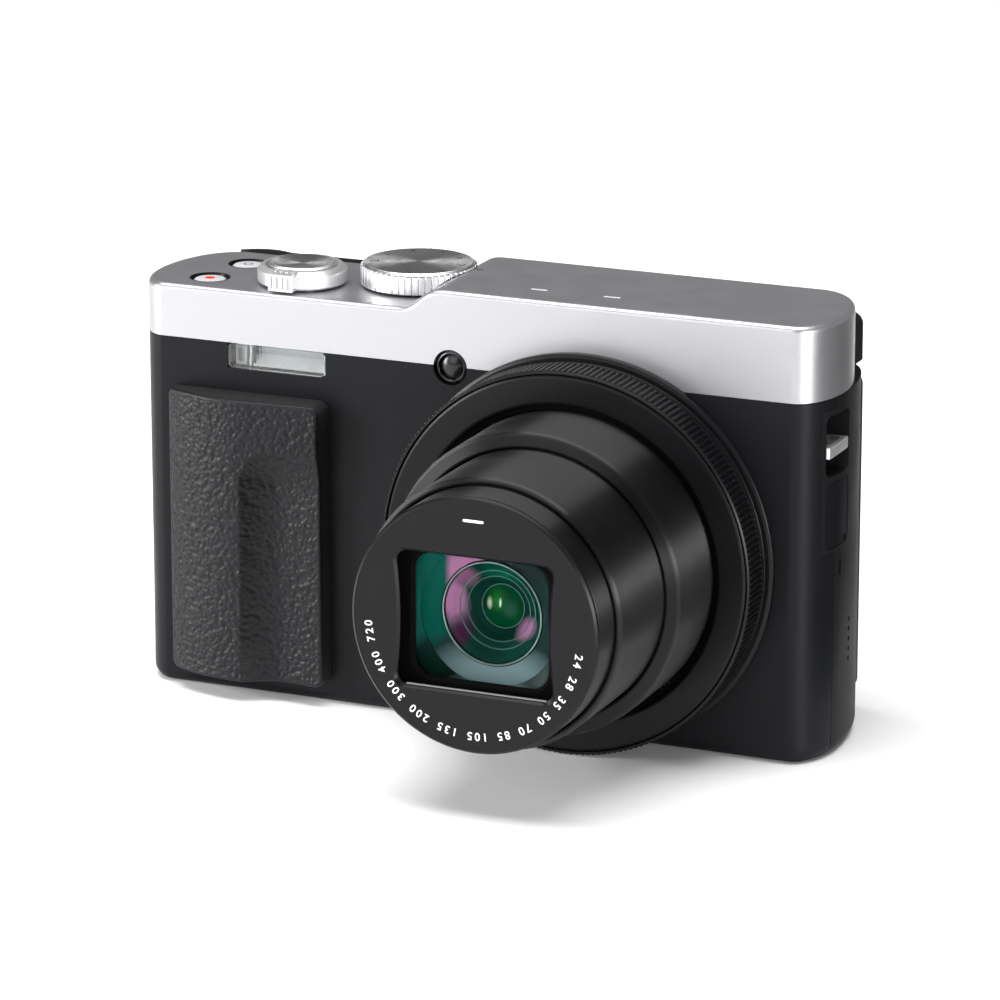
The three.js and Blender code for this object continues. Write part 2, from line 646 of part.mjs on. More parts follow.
function shutterButton() {
  return turned('z', [
    [0, 62.2], [2.3, 62.2], [2.3, 66.2], [5.3, 66.2], [5.3, 66.8], [4.9, 67.1], [2.6, 66.9], [0, 66.75],
  ], [0, 0], 24);
}

function deckButton() {
  return turned('z', [
    [0, 61.6], [2.5, 61.6], [2.5, 63.45], [2.2, 63.65], [1.2, 63.5], [0, 63.45],
  ], [0, 0], 24);
}

function topSwitchBoard() {
  const board = box(-50, -9.4, -11, 6, 59.8, 60.5);
  const switches = [MOVIE_XY, POWER_XY, [SHUTTER_X, SHUTTER_Y]]
    .map(([x, y]) => box(x - 2, x + 2, y - 2, y + 2, 60.4, 61.1));
  const encoder = box(DIAL_X - 4.5, DIAL_X + 4.5, DIAL_Y - 4.5, DIAL_Y + 4.5, 60.4, 60.9);
  return join(board, ...switches, encoder);
}

function rearDial() {
  return turned('y', [
    [5.3, 13.6], [6, 13.6], [6, REAR_Y + 0.1], [9.6, REAR_Y + 0.1], [9.6, 17.6], [9.2, 18],
    [6, 17.8], [5.3, 17.5], [5.3, 13.6],
  ], [0, 0], 32);
}

function setButton() {
  return turned('y', [[0, 13.5], [5.1, 13.5], [5.1, 17.4], [4.7, 17.7], [0, 17.6]], [0, 0], 28);
}

function rearButton() {
  const r = REAR_BUTTON_R;
  return turned('y', [[0, 13.5], [r, 13.5], [r, 17.05], [r - 0.3, 17.3], [0, 17.2]], [0, 0], 20);
}

function rearButtonBoard() {
  const board = box(-49.6, -27.6, 11.6, 12.4, 6.5, 47);
  const centres = [...Object.values(REAR_BUTTONS), [REAR_DIAL_X, REAR_DIAL_Z]];
  const domes = centres.map(([x, z]) => rod('y', 1.6, 12.3, 13, [x, z], 12));
  return join(board, ...domes);
}

// ---- materials ----------------------------------------------------------------------------
function material(color, roughness, metalness) {
  return () => new THREE.MeshStandardMaterial({ color, roughness, metalness });
}

const silver = material(0xd2d3d6, 0.38, 0.7);
const blackBody = material(0x1d1e20, 0.5, 0.1);
const blackGloss = material(0x0d0d0f, 0.22, 0.3);
const blackSatin = material(0x141416, 0.36, 0.3);
const leatherette = material(0x26272a, 0.62, 0);
const blackRubber = material(0x1a1b1d, 0.75, 0);
const clearPlastic = material(0xdfe6e6, 0.12, 0);
const smokedPlastic = material(0x2c2e31, 0.15, 0.1);
const coatedGlass = material(0x1f5a50, 0.05, 0.1);
const screenGlass = material(0x0a0b0d, 0.08, 0.1);
const chrome = material(0xd9d9da, 0.15, 1);
const steel = material(0x9a9ca0, 0.35, 0.9);
const engineering = material(0x232427, 0.6, 0);
const boardGreen = material(0x1f4a34, 0.55, 0.1);
const batteryGrey = material(0x3a3c40, 0.55, 0.1);
const cardBlue = material(0x22324a, 0.5, 0.1);
const capacitorBlack = material(0x17181b, 0.4, 0.1);
const mirrorBright = material(0xe8e9ea, 0.1, 0.9);

// ---- assembly -----------------------------------------------------------------------------
const camera = new THREE.Group();

function place(name, body, makeMaterial, x = 0, y = 0, z = 0) {
  const mesh = new THREE.Mesh(toGeometry(body), makeMaterial());
  mesh.name = name;
  mesh.position.set(x, y, z);
  camera.add(mesh);
}

const shell = bodyShell();
place('front_cover', frontCover(shell), blackBody);
place('rear_cover', rearCover(shell), blackBody);
place('top_cover', topCover(), silver);
place('front_grip', frontGrip(), leatherette);
place('thumb_rest', thumbRest(), blackRubber);

place('lens_base_ring', lensBaseRing(), blackSatin);
place('control_ring', controlRing(), blackSatin);
place('front_bezel', frontBezel(), blackGloss);
place('lens_housing', lensHousing(), engineering);
place('cam_ring', lensTube(23.5, 24.7, -8, 6, COARSE), steel);
place('outer_barrel', barrel(OUTER_R, 0.8, OUTER_FRONT_Y, -6.2, 20.75), blackGloss);
place('middle_barrel', barrel(MIDDLE_R, 0.85, MIDDLE_FRONT_Y, -21, 19.4), blackGloss);
place('zoom_lens_group', zoomLensGroup(), engineering);
place('front_barrel', frontBarrel(), blackGloss);
place('name_ring', nameRing(), blackSatin);
place('front_lens_cell', frontLensCell(), blackSatin);
place('front_element', lensElement(15, -53.15, 1.9, -47.6, -1.6), coatedGlass);
for (const [side, word] of [[1, 'upper'], [-1, 'lower']]) {
  place(`barrier_blade_${word}_outer`, barrierBlade(side, -54.95, 8.2, true), blackSatin);
  place(`barrier_blade_${word}_inner`, barrierBlade(side, -54.4, 10.2, false), blackSatin);
}
place('rear_lens_group', rearLensGroup(), engineering);
place('sensor_plate', sensorPlate(), steel);
place('sensor_module', sensorModule(), boardGreen);
place('zoom_motor', zoomMotor(), steel);

place('main_board', mainBoard(), boardGreen);
place('chassis_plate', prism('y', roundedRect(-19, 49.5, 3, 54, 2), 9.65, 10.3), steel);
place('battery_compartment', batteryCompartment(), engineering);
place('battery', batteryPack(), batteryGrey);
place('memory_card', memoryCard(), cardBlue);
place('battery_door', batteryDoor(), blackBody);
place('battery_door_latch', batteryDoorLatch(), blackSatin);
place('tripod_socket', tripodSocket(), steel);
for (const [name, [x, y]] of Object.entries(BASE_SCREWS)) {
  place(name, baseScrew(), steel, x, y);
}
place('flash_window', box(FLASH.x0, FLASH.x1, -13.95, -12.3, FLASH.z0, FLASH.z1), clearPlastic);
place('flash_unit', flashUnit(), mirrorBright);
place('flash_capacitor', rod('x', 3.8, -50, -24, [1.6, 55.3], 24), capacitorBlack);
place('af_lamp', turned('y', [
  [0, -13.4], [2, -13.1], [2, -13.7], [2.6, -13.7], [2.6, -10.4], [0, -10.4],
], [AF_LAMP_X, AF_LAMP_Z], 24), smokedPlastic);
place('speaker', speaker(), engineering);
place('usb_socket', shellSocket(-5.7, -2.7, 33.1, 42, 6.4), steel);
place('hdmi_socket', shellSocket(-9.4, -6.6, 34.3, 40.7, 6.4), steel);
place('terminal_door', terminalDoor(), blackBody);
place('strap_lug', strapLug(), chrome);

place('monitor_housing', monitorHousing(), blackBody);
place('monitor_screen', monitorScreen(), screenGlass);
place('monitor_hinge', monitorHinge(), steel);

place('mode_dial', modeDial(), silver, DIAL_X, DIAL_Y);
place('zoom_lever', zoomLever(), silver, SHUTTER_X, SHUTTER_Y);
place('shutter_button', shutterButton(), silver, SHUTTER_X, SHUTTER_Y);
place('movie_button', deckButton(), silver, ...MOVIE_XY);
place('power_button', deckButton(), silver, ...POWER_XY);
place('top_switch_board', topSwitchBoard(), boardGreen);
place('rear_dial', rearDial(), blackSatin, REAR_DIAL_X, 0, REAR_DIAL_Z);
place('set_button', setButton(), blackSatin, REAR_DIAL_X, 0, REAR_DIAL_Z);
for (const [name, [x, z]] of Object.entries(REAR_BUTTONS)) {
  place(name, rearButton(), blackSatin, x, 0, z);
}
place('rear_button_board', rearButtonBoard(), boardGreen);

export default camera;
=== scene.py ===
"""Looks of a compact travel-zoom camera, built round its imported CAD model."""
import bmesh
import bpy
import math
from mathutils import Matrix, Vector, noise


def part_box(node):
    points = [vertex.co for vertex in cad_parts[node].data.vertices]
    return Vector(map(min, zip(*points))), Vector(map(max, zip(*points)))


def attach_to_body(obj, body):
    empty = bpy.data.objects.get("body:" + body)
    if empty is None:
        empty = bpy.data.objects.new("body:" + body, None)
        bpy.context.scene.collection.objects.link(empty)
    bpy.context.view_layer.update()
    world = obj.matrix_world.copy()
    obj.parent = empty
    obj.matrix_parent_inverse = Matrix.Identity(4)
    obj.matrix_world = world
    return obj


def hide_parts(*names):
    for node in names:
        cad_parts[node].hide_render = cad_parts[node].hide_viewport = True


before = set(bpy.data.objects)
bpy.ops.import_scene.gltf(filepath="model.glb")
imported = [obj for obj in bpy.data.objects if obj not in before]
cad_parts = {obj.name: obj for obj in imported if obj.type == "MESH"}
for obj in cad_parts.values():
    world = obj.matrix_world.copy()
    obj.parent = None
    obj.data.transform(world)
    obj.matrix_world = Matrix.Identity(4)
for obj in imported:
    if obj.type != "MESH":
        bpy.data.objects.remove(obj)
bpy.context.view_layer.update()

MM = 0.001
BODY = "camera_body"


# ---- places, from the frame -----------------------------------------------------------------
class Box:
    """A CAD node's box in millimetres."""

    def __init__(self, node):
        low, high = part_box(node)
        self.x0, self.y0, self.z0 = (value / MM for value in low)
        self.x1, self.y1, self.z1 = (value / MM for value in high)
        self.cx = (self.x0 + self.x1) / 2
        self.cy = (self.y0 + self.y1) / 2
        self.cz = (self.z0 + self.z1) / 2
        self.rx = (self.x1 - self.x0) / 2


FRONT = Box("front_cover")
REAR = Box("rear_cover")
TOP = Box("top_cover")
GRIP = Box("front_grip")
RING = Box("control_ring")
FLANGE = Box("lens_base_ring")
BEZEL = Box("front_bezel")
OUTER = Box("outer_barrel")
MIDDLE = Box("middle_barrel")
NOSE = Box("front_barrel")
NAME = Box("name_ring")
CELL = Box("front_lens_cell")
DIAL = Box("mode_dial")
SHUTTER = Box("shutter_button")
FLASH = Box("flash_window")
LAMP = Box("af_lamp")
DOOR = Box("terminal_door")
LUG = Box("strap_lug")
MONITOR = Box("monitor_housing")
SCREEN = Box("monitor_screen")
REAR_DIAL = Box("rear_dial")
SET = Box("set_button")

HALF_WIDTH = REAR.x1
LENS_X = RING.cx
LENS_Z = RING.cz
LENS = (LENS_X, LENS_Z)  # the lens axis, which runs along Y
FRONT_Y = FRONT.y0
SEAM_Y = FRONT.y1
BAND_Z = TOP.z0
WIDEST_Y = -4.5          # the rounded ends are widest here
WALL_BACK_Y = 12.5       # back of the shell, where the rear panel stands
BODY_CORNER = (50, WALL_BACK_Y)
TOP_CORNER = (47.2, TOP.y1)
STRAP_Z = (43.5, 52.8)   # recess that the strap bar crosses
DECK_Z = 63.7            # lower deck of the top cover
RAMP_X = (-10.2, -6.35)  # foot and top of the ramp between the decks
MICROPHONE_X = (8.6, 20.3)
WINDOW_SIZE = (24.7, 20.1)
DECK_BUTTONS = ("movie_button", "power_button")
BACK_BUTTONS = ("function_button", "playback_button", "delete_button", "display_button")
BASE_SCREWS = ("base_screw_left", "base_screw_right")


# ---- mesh helpers ---------------------------------------------------------------------------
def new_object(name, mesh, material):
    piece = bpy.data.objects.new(name, mesh)
    bpy.context.scene.collection.objects.link(piece)
    if material:
        piece.data.materials.append(material)
    return piece


def mesh_piece(name, vertices, faces, material=None):
    """A mesh from millimetre vertices, its faces turned outward."""
    mesh = bpy.data.meshes.new(name)
    mesh.from_pydata([tuple(value * MM for value in v) for v in vertices], [], faces)
    work = bmesh.new()
    work.from_mesh(mesh)
    bmesh.ops.remove_doubles(work, verts=work.verts, dist=1e-7)
    bmesh.ops.recalc_face_normals(work, faces=work.faces)
    work.to_mesh(mesh)
    work.free()
    return new_object(name, mesh, material)


def bridge(loops, closed_start=True, closed_end=True):
    """Vertices and faces of a skin through equal-length closed loops."""
    count = len(loops[0])
    vertices = [v for loop in loops for v in loop]
    faces = []
    for i in range(len(loops) - 1):
        low, high = i * count, (i + 1) * count
        for j in range(count):
            k = (j + 1) % count
            faces.append((low + j, low + k, high + k, high + j))
    if closed_start:
        faces.append(tuple(range(count)))
    if closed_end:
        faces.append(tuple(range(len(vertices) - count, len(vertices))))
    return vertices, faces


def rounded_path(points, steps, closed):
    """Corner points (u, v) or (u, v, radius) become a path, with an arc at each rounded corner."""
    path = []
    count = len(points)
    for i, (u, v, *rounding) in enumerate(points):
        here = Vector((u, v))
        if not rounding or (not closed and i in (0, count - 1)):
            path.append((u, v))
            continue
        radius = rounding[0]
        before = Vector(points[i - 1][:2]) - here
        after = Vector(points[(i + 1) % count][:2]) - here
        half = before.angle(after) / 2
        reach = min(radius / math.tan(half), before.length * 0.49, after.length * 0.49)
        start = here + before.normalized() * reach
        end = here + after.normalized() * reach
        for k in range(steps + 1):
            t = k / steps
            bend = (1 - t) ** 2 * start + 2 * t * (1 - t) * here + t ** 2 * end
            path.append((bend.x, bend.y))
    return path


def spun_point(axis, centre, radius, angle, along):
    """A point at that radius and angle round an axis line, at that height along it."""
    a = centre[0] + radius * math.cos(angle)
    b = centre[1] + radius * math.sin(angle)
    return {"y": (a, along, b), "z": (a, b, along), "x": (along, a, b)}[axis]


def spun(name, axis, centre, profile, material, steps, wave=None, arc=4):
    """A solid of revolution. The profile's points are (radius, along) or (radius, along, corner
    radius). It is closed, or it starts and ends on the axis. wave(angle, radius, along) changes a
    point's radius."""
    on_axis = profile[0][0] == 0 and profile[-1][0] == 0
    path = rounded_path(profile, arc, closed=not on_axis)
    rings = path[1:-1] if on_axis else path
    loops = []
    for radius, along in rings:
        loop = []
        for j in range(steps):
            angle = 2 * math.pi * j / steps
            shaped = radius if wave is None else wave(angle, radius, along)
            loop.append(spun_point(axis, centre, shaped, angle, along))
        loops.append(loop)
    if on_axis:
        vertices, faces = bridge(loops, False, False)
        for ring, tip in ((0, path[0]), (len(loops) - 1, path[-1])):
            vertices.append(spun_point(axis, centre, 0, 0, tip[1]))
            middle = len(vertices) - 1
            base = ring * steps
            faces += [(base + j, base + (j + 1) % steps, middle) for j in range(steps)]
    else:
        vertices, faces = bridge(loops + [loops[0]], False, False)
    return mesh_piece(name, vertices, faces, material)


def rounded_rect(u0, u1, v0, v1, radius, steps=8):
    """Corner points of a rectangle with true quarter-circle corners."""
    points = []
    corners = ((u1, v0, -90), (u1, v1, 0), (u0, v1, 90), (u0, v0, 180))
    for u, v, start in corners:
        cu = u - radius if u == u1 else u + radius
        cv = v - radius if v == v1 else v + radius
        for k in range(steps + 1):
            angle = math.radians(start + 90 * k / steps)
            points.append((cu + radius * math.cos(angle), cv + radius * math.sin(angle)))
    return points


def inset(points, amount):
    """A closed outline moved inward along its corner bisectors."""
    area = sum(a[0] * b[1] - b[0] * a[1] for a, b in zip(points, points[1:] + points[:1]))
    turn = 1 if area > 0 else -1
    moved = []
    count = len(points)
    for i, point in enumerate(points):
        here = Vector(point)
        ahead = (Vector(points[(i + 1) % count]) - here).normalized()
        behind = (here - Vector(points[i - 1])).normalized()
        bisector = (ahead + behind).normalized()
        inward = Vector((-bisector.y, bisector.x)) * turn
        stretch = max(0.5, math.sqrt((1 + ahead.dot(behind)) / 2))
        moved.append(tuple(here + inward * amount / stretch))
    return moved


def lifted(axis, points, along):
    """Outline points placed in space, at a height along the axis."""
    place = {
        "x": lambda u, v: (along, u, v),
        "y": lambda u, v: (u, along, v),
        "z": lambda u, v: (u, v, along),
    }[axis]
    return [place(u, v) for u, v in points]


def plate(name, axis, outline, low, high, material=None, low_round=0.0, high_round=0.0, steps=4):
    """An outline pushed from low to high along an axis, with rounded edges at either end."""
    loops = []
    if low_round:
        for k in range(steps):
            t = math.radians(90 * k / steps)
            shift = low_round * (1 - math.sin(t))
            loops.append(lifted(axis, inset(outline, shift), low + low_round * (1 - math.cos(t))))
        loops.append(lifted(axis, outline, low + low_round))
    else:
        loops.append(lifted(axis, outline, low))
    if high_round:
        for k in range(steps):
            t = math.radians(90 * k / steps)
            shift = high_round * (1 - math.cos(t))
            along = high - high_round * (1 - math.sin(t))
            loops.append(lifted(axis, inset(outline, shift), along))
        loops.append(lifted(axis, inset(outline, high_round), high))
    else:
        loops.append(lifted(axis, outline, high))
    return mesh_piece(name, *bridge(loops), material)


def cutter(axis, outline, low, high, **rounding):
    """A plate without a material, which cuts, joins or bounds another piece."""
    return plate("cutter", axis, outline, low, high, **rounding)


def block(x0, x1, y0, y1, z0, z1):
    """A plain cutting block."""
    return cutter("z", [(x0, y0), (x1, y0), (x1, y1), (x0, y1)], z0, z1)


def rod(axis, centre, radius, low, high, steps=64):
    """A plain cutting cylinder."""
    return spun("cutter", axis, centre, [(0, low), (radius, low), (radius, high), (0, high)], None, steps)


def apply_modifiers(piece):
    """The piece's mesh becomes what its modifiers make of it."""
    depsgraph = bpy.context.evaluated_depsgraph_get()
    made = bpy.data.meshes.new_from_object(piece.evaluated_get(depsgraph))
    old = piece.data
    piece.modifiers.clear()
    piece.data = made
    bpy.data.meshes.remove(old)


def combine(piece, operation, *tools):
    """Joins, cuts or keeps the overlap with each tool in turn, and deletes the tools."""
    for tool in tools:
        step = piece.modifiers.new("combine", "BOOLEAN")
        step.operation = operation
        step.solver = "EXACT"
        step.object = tool
        apply_modifiers(piece)
        bpy.data.objects.remove(tool)
    return piece


def cut(piece, *tools):
    return combine(piece, "DIFFERENCE", *tools)


def join(piece, *tools):
    return combine(piece, "UNION", *tools)


def keep_inside(piece, tool):
    return combine(piece, "INTERSECT", tool)


def cut_grooves(piece, count, first_x, pitch, half_width, *places):
    """Cuts evenly spaced grooves along X; each place is (y0, y1, z0, z1) of a block."""
    for k in range(count):
        x = first_x + pitch * k
        cut(piece, *[block(x - half_width, x + half_width, *place) for place in places])


def merged(name, pieces):
    """Several separate meshes become one object."""
    whole = bmesh.new()
    for piece in pieces:
        whole.from_mesh(piece.data)
    mesh = bpy.data.meshes.new(name)
    whole.to_mesh(mesh)
    whole.free()
    material = pieces[0].data.materials[0] if pieces[0].data.materials else None
    for piece in pieces:
        bpy.data.objects.remove(piece)
    return new_object(name, mesh, material)


def smooth(piece, angle=32, weighted=True):
    """Smooth shading that breaks at real edges."""
    piece.data.shade_smooth()
    piece.data.set_sharp_from_angle(angle=math.radians(angle))
    if weighted:
        tidy = piece.modifiers.new("weighted", "WEIGHTED_NORMAL")
        tidy.keep_sharp = True
        tidy.weight = 80


def soften(piece, width, angle=40, segments=2):
    """A fine bevel on the sharp edges."""
    edge = piece.modifiers.new("edge", "BEVEL")
    edge.width = width * MM
    edge.segments = segments
    edge.limit_method = "ANGLE"
    edge.angle_limit = math.radians(angle)
    edge.use_clamp_overlap = True
    edge.miter_outer = "MITER_ARC"


def attach(piece, body):
    """The piece rides on its body."""
    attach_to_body(piece, body)
    return piece


def fit(piece, body, slot, *nodes, angle=32, weighted=True):
    """The finished piece is shaded, rides on its body and stands for its CAD nodes."""
    smooth(piece, angle, weighted)
    attach(piece, body)
    if nodes:
        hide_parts(*nodes)
    return piece


# ---- materials ------------------------------------------------------------------------------
class Shader:
    """A principled material whose fine detail comes from noise in the object's own space."""

    def __init__(self, name, color, roughness, metallic=0.0, **settings):
        self.material = bpy.data.materials.new(name)
        self.material.use_nodes = True
        self.tree = self.material.node_tree
        self.surface = self.tree.nodes["Principled BSDF"]
        self.color = color
        self.surface.inputs["Base Color"].default_value = (*color, 1)
        self.surface.inputs["Roughness"].default_value = roughness
        self.surface.inputs["Metallic"].default_value = metallic
        for key, value in settings.items():
            self.surface.inputs[key.replace("_", " ")].default_value = value
        self.space = self.tree.nodes.new("ShaderNodeTexCoord").outputs["Object"]
        self.height = None

    def node(self, kind, **settings):
        made = self.tree.nodes.new(kind)
        for key, value in settings.items():
            setattr(made, key, value)
        return made

    def link(self, source, target):
        self.tree.links.new(source, target)

    def grain(self, scale, detail, stretch=None):
        """Noise with features of 1/scale metres."""
        texture = self.node("ShaderNodeTexNoise")
        texture.inputs["Scale"].default_value = scale
        texture.inputs["Detail"].default_value = detail
        source = self.space
        if stretch:
            scaled = self.node("ShaderNodeMapping")
            scaled.inputs["Scale"].default_value = stretch
            self.link(source, scaled.inputs["Vector"])
            source = scaled.outputs["Vector"]
        self.link(source, texture.inputs["Vector"])
        return texture.outputs["Fac"]

    def ramp(self, value, low, high, start, end):
        """Maps a value between start and end onto low to high."""
        mapped = self.node("ShaderNodeMapRange")
        mapped.inputs["From Min"].default_value = start
        mapped.inputs["From Max"].default_value = end
        mapped.inputs["To Min"].default_value = low
        mapped.inputs["To Max"].default_value = high
        self.link(value, mapped.inputs["Value"])
        return mapped.outputs["Result"]

    def vary_roughness(self, value, low, high):
        self.link(self.ramp(value, low, high, 0.3, 0.7), self.surface.inputs["Roughness"])

    def vary_color(self, value, low, high, start=0.3, end=0.7):
        blend = self.node("ShaderNodeMix", data_type="RGBA")
        blend.inputs["A"].default_value = (*low, 1)
        blend.inputs["B"].default_value = (*high, 1)
        self.link(self.ramp(value, 0, 1, start, end), blend.inputs["Factor"])
        self.link(blend.outputs["Result"], self.surface.inputs["Base Color"])

    def bump(self, value, depth):
        """Relief of that depth in millimetres, laid over any relief made before."""
        relief = self.node("ShaderNodeBump")
        relief.inputs["Distance"].default_value = depth * MM
        self.link(value, relief.inputs["Height"])
        if self.height:
            self.link(self.height, relief.inputs["Normal"])
        self.height = relief.outputs["Normal"]
        self.link(self.height, self.surface.inputs["Normal"])

    def speckle(self, fine, dark, light, depth, spread=0.2):
        """Fine noise scales the colour between two factors and makes relief of that depth."""
        low, high = scaled_color(self.color, dark), scaled_color(self.color, light)
        self.vary_color(fine, low, high, 0.5 - spread, 0.5 + spread)
        self.bump(fine, depth)

    def turned(self, axis):
        """Highlights stretch as on turned metal, whose tool marks run round an axis."""
        tangent = self.node("ShaderNodeTangent", direction_type="RADIAL", axis=axis)
        self.link(tangent.outputs["Tangent"], self.surface.inputs["Tangent"])


def scaled_color(color, factor):
    return tuple(min(1.0, channel * factor) for channel in color)


def satin_black(name, color, roughness, grain_mm, depth, specular=0.13):
    """Fine-textured black moulding, or anodised metal when smoother."""
    made = Shader(name, color, roughness, Specular_IOR_Level=specular)
    made.vary_roughness(made.grain(60, 3), roughness * 0.9, roughness * 1.12)
    made.speckle(made.grain(1 / (grain_mm * MM), 2), 0.86, 1.18, depth)
    return made.material


def gloss_black(name, roughness, color, coat, specular=0.5):
    made = Shader(name, color, roughness, Coat_Weight=coat, Coat_Roughness=0.06, Specular_IOR_Level=specular)
    made.vary_roughness(made.grain(90, 2), roughness * 0.96, roughness * 1.05)
    made.bump(made.grain(9000, 1), 0.0006)
    return made.material


def turned_black():
    """Black barrels with fine turning marks, which spread a highlight along the lens axis."""
    made = Shader("barrel_black", (0.003, 0.003, 0.0035), 0.42, Specular_IOR_Level=0.42, Anisotropic=1.0,
                  Anisotropic_Rotation=0.25)
    made.turned("Y")
    made.vary_roughness(made.grain(90, 2), 0.38, 0.43)
    made.bump(made.grain(9000, 1), 0.0006)
    return made.material


def satin_silver(name, color, metallic, cloud, rough, contrast, depth):
    """Painted or bead-blasted silver with a fine sparkle and a broad drift of roughness."""
    made = Shader(name, color, 0.36, metallic)
    made.vary_roughness(made.grain(*cloud), *rough)
    made.speckle(made.grain(9000, 1), 1 - contrast, 1 + contrast, depth, 0.25)
    return made.material


def spun_silver():
    """Turned metal: rings of tool marks that stretch a highlight into a fan."""
    made = Shader("spun_silver", (0.86, 0.86, 0.87), 0.32, 1.0, Anisotropic=0.75)
    made.turned("Z")
    made.vary_roughness(made.grain(500, 3), 0.26, 0.34)
    made.speckle(made.grain(5000, 2), 0.93, 1.06, 0.0015)
    return made.material


def leatherette():
    """Soft black leather; the grain's pebbles are in the mesh."""
    made = Shader("pebbled_leatherette", (0.0055, 0.0058, 0.007), 0.40, Specular_IOR_Level=0.22)
    made.vary_roughness(made.grain(700, 2), 0.40, 0.46)
    made.speckle(made.grain(2600, 3), 0.75, 1.25, 0.035)
    made.bump(made.grain(9000, 2), 0.008)
    return made.material


def rubber():
    made = Shader("moulded_rubber", (0.010, 0.010, 0.011), 0.6, Specular_IOR_Level=0.3)
    made.speckle(made.grain(6000, 2), 0.8, 1.25, 0.02)
    return made.material


def polished(name, color, roughness):
    made = Shader(name, color, roughness, 1.0)
    made.vary_roughness(made.grain(700, 3), roughness * 0.8, roughness * 1.3)
    made.bump(made.grain(3000, 2, (1, 1, 0.1)), 0.0012)
    return made.material


def clear(name, color=(0.97, 0.99, 0.99), roughness=0.03, ior=1.49, specular=0.5):
    made = Shader(name, color, roughness, Transmission_Weight=1.0, IOR=ior, Specular_IOR_Level=specular)
    made.bump(made.grain(1500, 2), 0.0006)
    return made.material


def circuit_board():
    color = (0.012, 0.075, 0.040)
    made = Shader("circuit_board", color, 0.4)
    tracks = made.node("ShaderNodeTexBrick")
    tracks.inputs["Scale"].default_value = 600
    made.link(made.space, tracks.inputs["Vector"])
    made.vary_color(tracks.outputs["Fac"], color, (0.05, 0.16, 0.09), 0, 1)
    made.bump(tracks.outputs["Fac"], 0.03)
    return made.material


def plain_moulding(name, color, roughness):
    made = Shader(name, color, roughness)
    made.vary_roughness(made.grain(200, 3), roughness * 0.9, roughness * 1.1)
    made.speckle(made.grain(4000, 2), 0.85, 1.15, 0.01)
    return made.material


SILVER = satin_silver("satin_silver", (0.44, 0.44, 0.455), 0.85, (220, 4), (0.34, 0.39), 0.10, 0.004)
SPUN = spun_silver()
BODY_BLACK = satin_black("satin_black_body", (0.0055, 0.0058, 0.0068), 0.40, 0.09, 0.004)
PANEL_BLACK = satin_black("rear_panel_black", (0.0065, 0.0068, 0.0075), 0.48, 0.12, 0.009)
RING_BLACK = satin_black("anodised_black", (0.0045, 0.0045, 0.0052), 0.33, 0.05, 0.001, 0.17)
BARREL_BLACK = turned_black()
DEEP_BLACK = satin_black("light_trap_black", (0.0015, 0.0015, 0.0015), 0.7, 0.2, 0.004, 0.03)
LEATHER = leatherette()
RUBBER = rubber()
STEEL = polished("plated_steel", (0.50, 0.50, 0.52), 0.3)
DULL_STEEL = polished("dull_steel", (0.20, 0.20, 0.21), 0.4)
WINDOW = clear("clear_window")
PAINT_MARK = plain_moulding("printed_mark", (0.75, 0.76, 0.78), 0.5)
DARK_MARK = plain_moulding("printed_dark_mark", (0.03, 0.03, 0.035), 0.5)
RED_MARK = plain_moulding("printed_red", (0.70, 0.02, 0.02), 0.4)
DARK_CHROME = polished("dark_chrome", (0.06, 0.06, 0.065), 0.3)
SATIN_METAL = satin_silver("satin_metal", (0.66, 0.66, 0.67), 0.8, (400, 3), (0.33, 0.40), 0.07, 0.002)
MESH = plain_moulding("microphone_mesh", (0.72, 0.72, 0.72), 0.5)
CAP_SILVER = plain_moulding("button_cap_silver", (0.50, 0.50, 0.51), 0.3)
SMOKED = gloss_black("smoked_lens", 0.22, (0.006, 0.007, 0.0075), 0.0, 0.4)
SCREEN_GLASS = gloss_black("screen_glass", 0.07, (0.004, 0.004, 0.005), 0.5)
DISPLAY = gloss_black("display_panel", 0.3, (0.008, 0.009, 0.011), 0.2)
GREY_PLASTIC = plain_moulding("grey_moulding", (0.30, 0.31, 0.31), 0.4)
REFLECTOR = plain_moulding("bright_reflector", (0.93, 0.94, 0.94), 0.25)
GOLD = polished("gold_contact", (0.75, 0.55, 0.22), 0.25)
BATTERY = plain_moulding("battery_case", (0.055, 0.057, 0.062), 0.5)
CARD = plain_moulding("card_plastic", (0.02, 0.05, 0.13), 0.45)
CAPACITOR = plain_moulding("capacitor_sleeve", (0.015, 0.016, 0.02), 0.3)
BOARD = circuit_board()
DARK_GLASS = gloss_black("inner_lens_group", 0.1, (0.006, 0.012, 0.010), 0.6)
FRONT_GLASS = clear("front_glass", (0.98, 1.0, 0.99), 0.02, 1.05, 0.15)
RIM_METAL = polished("element_rim_metal", (0.26, 0.34, 0.32), 0.35)
EDGE_LINE = polished("element_edge_line", (0.10, 0.20, 0.17), 0.4)


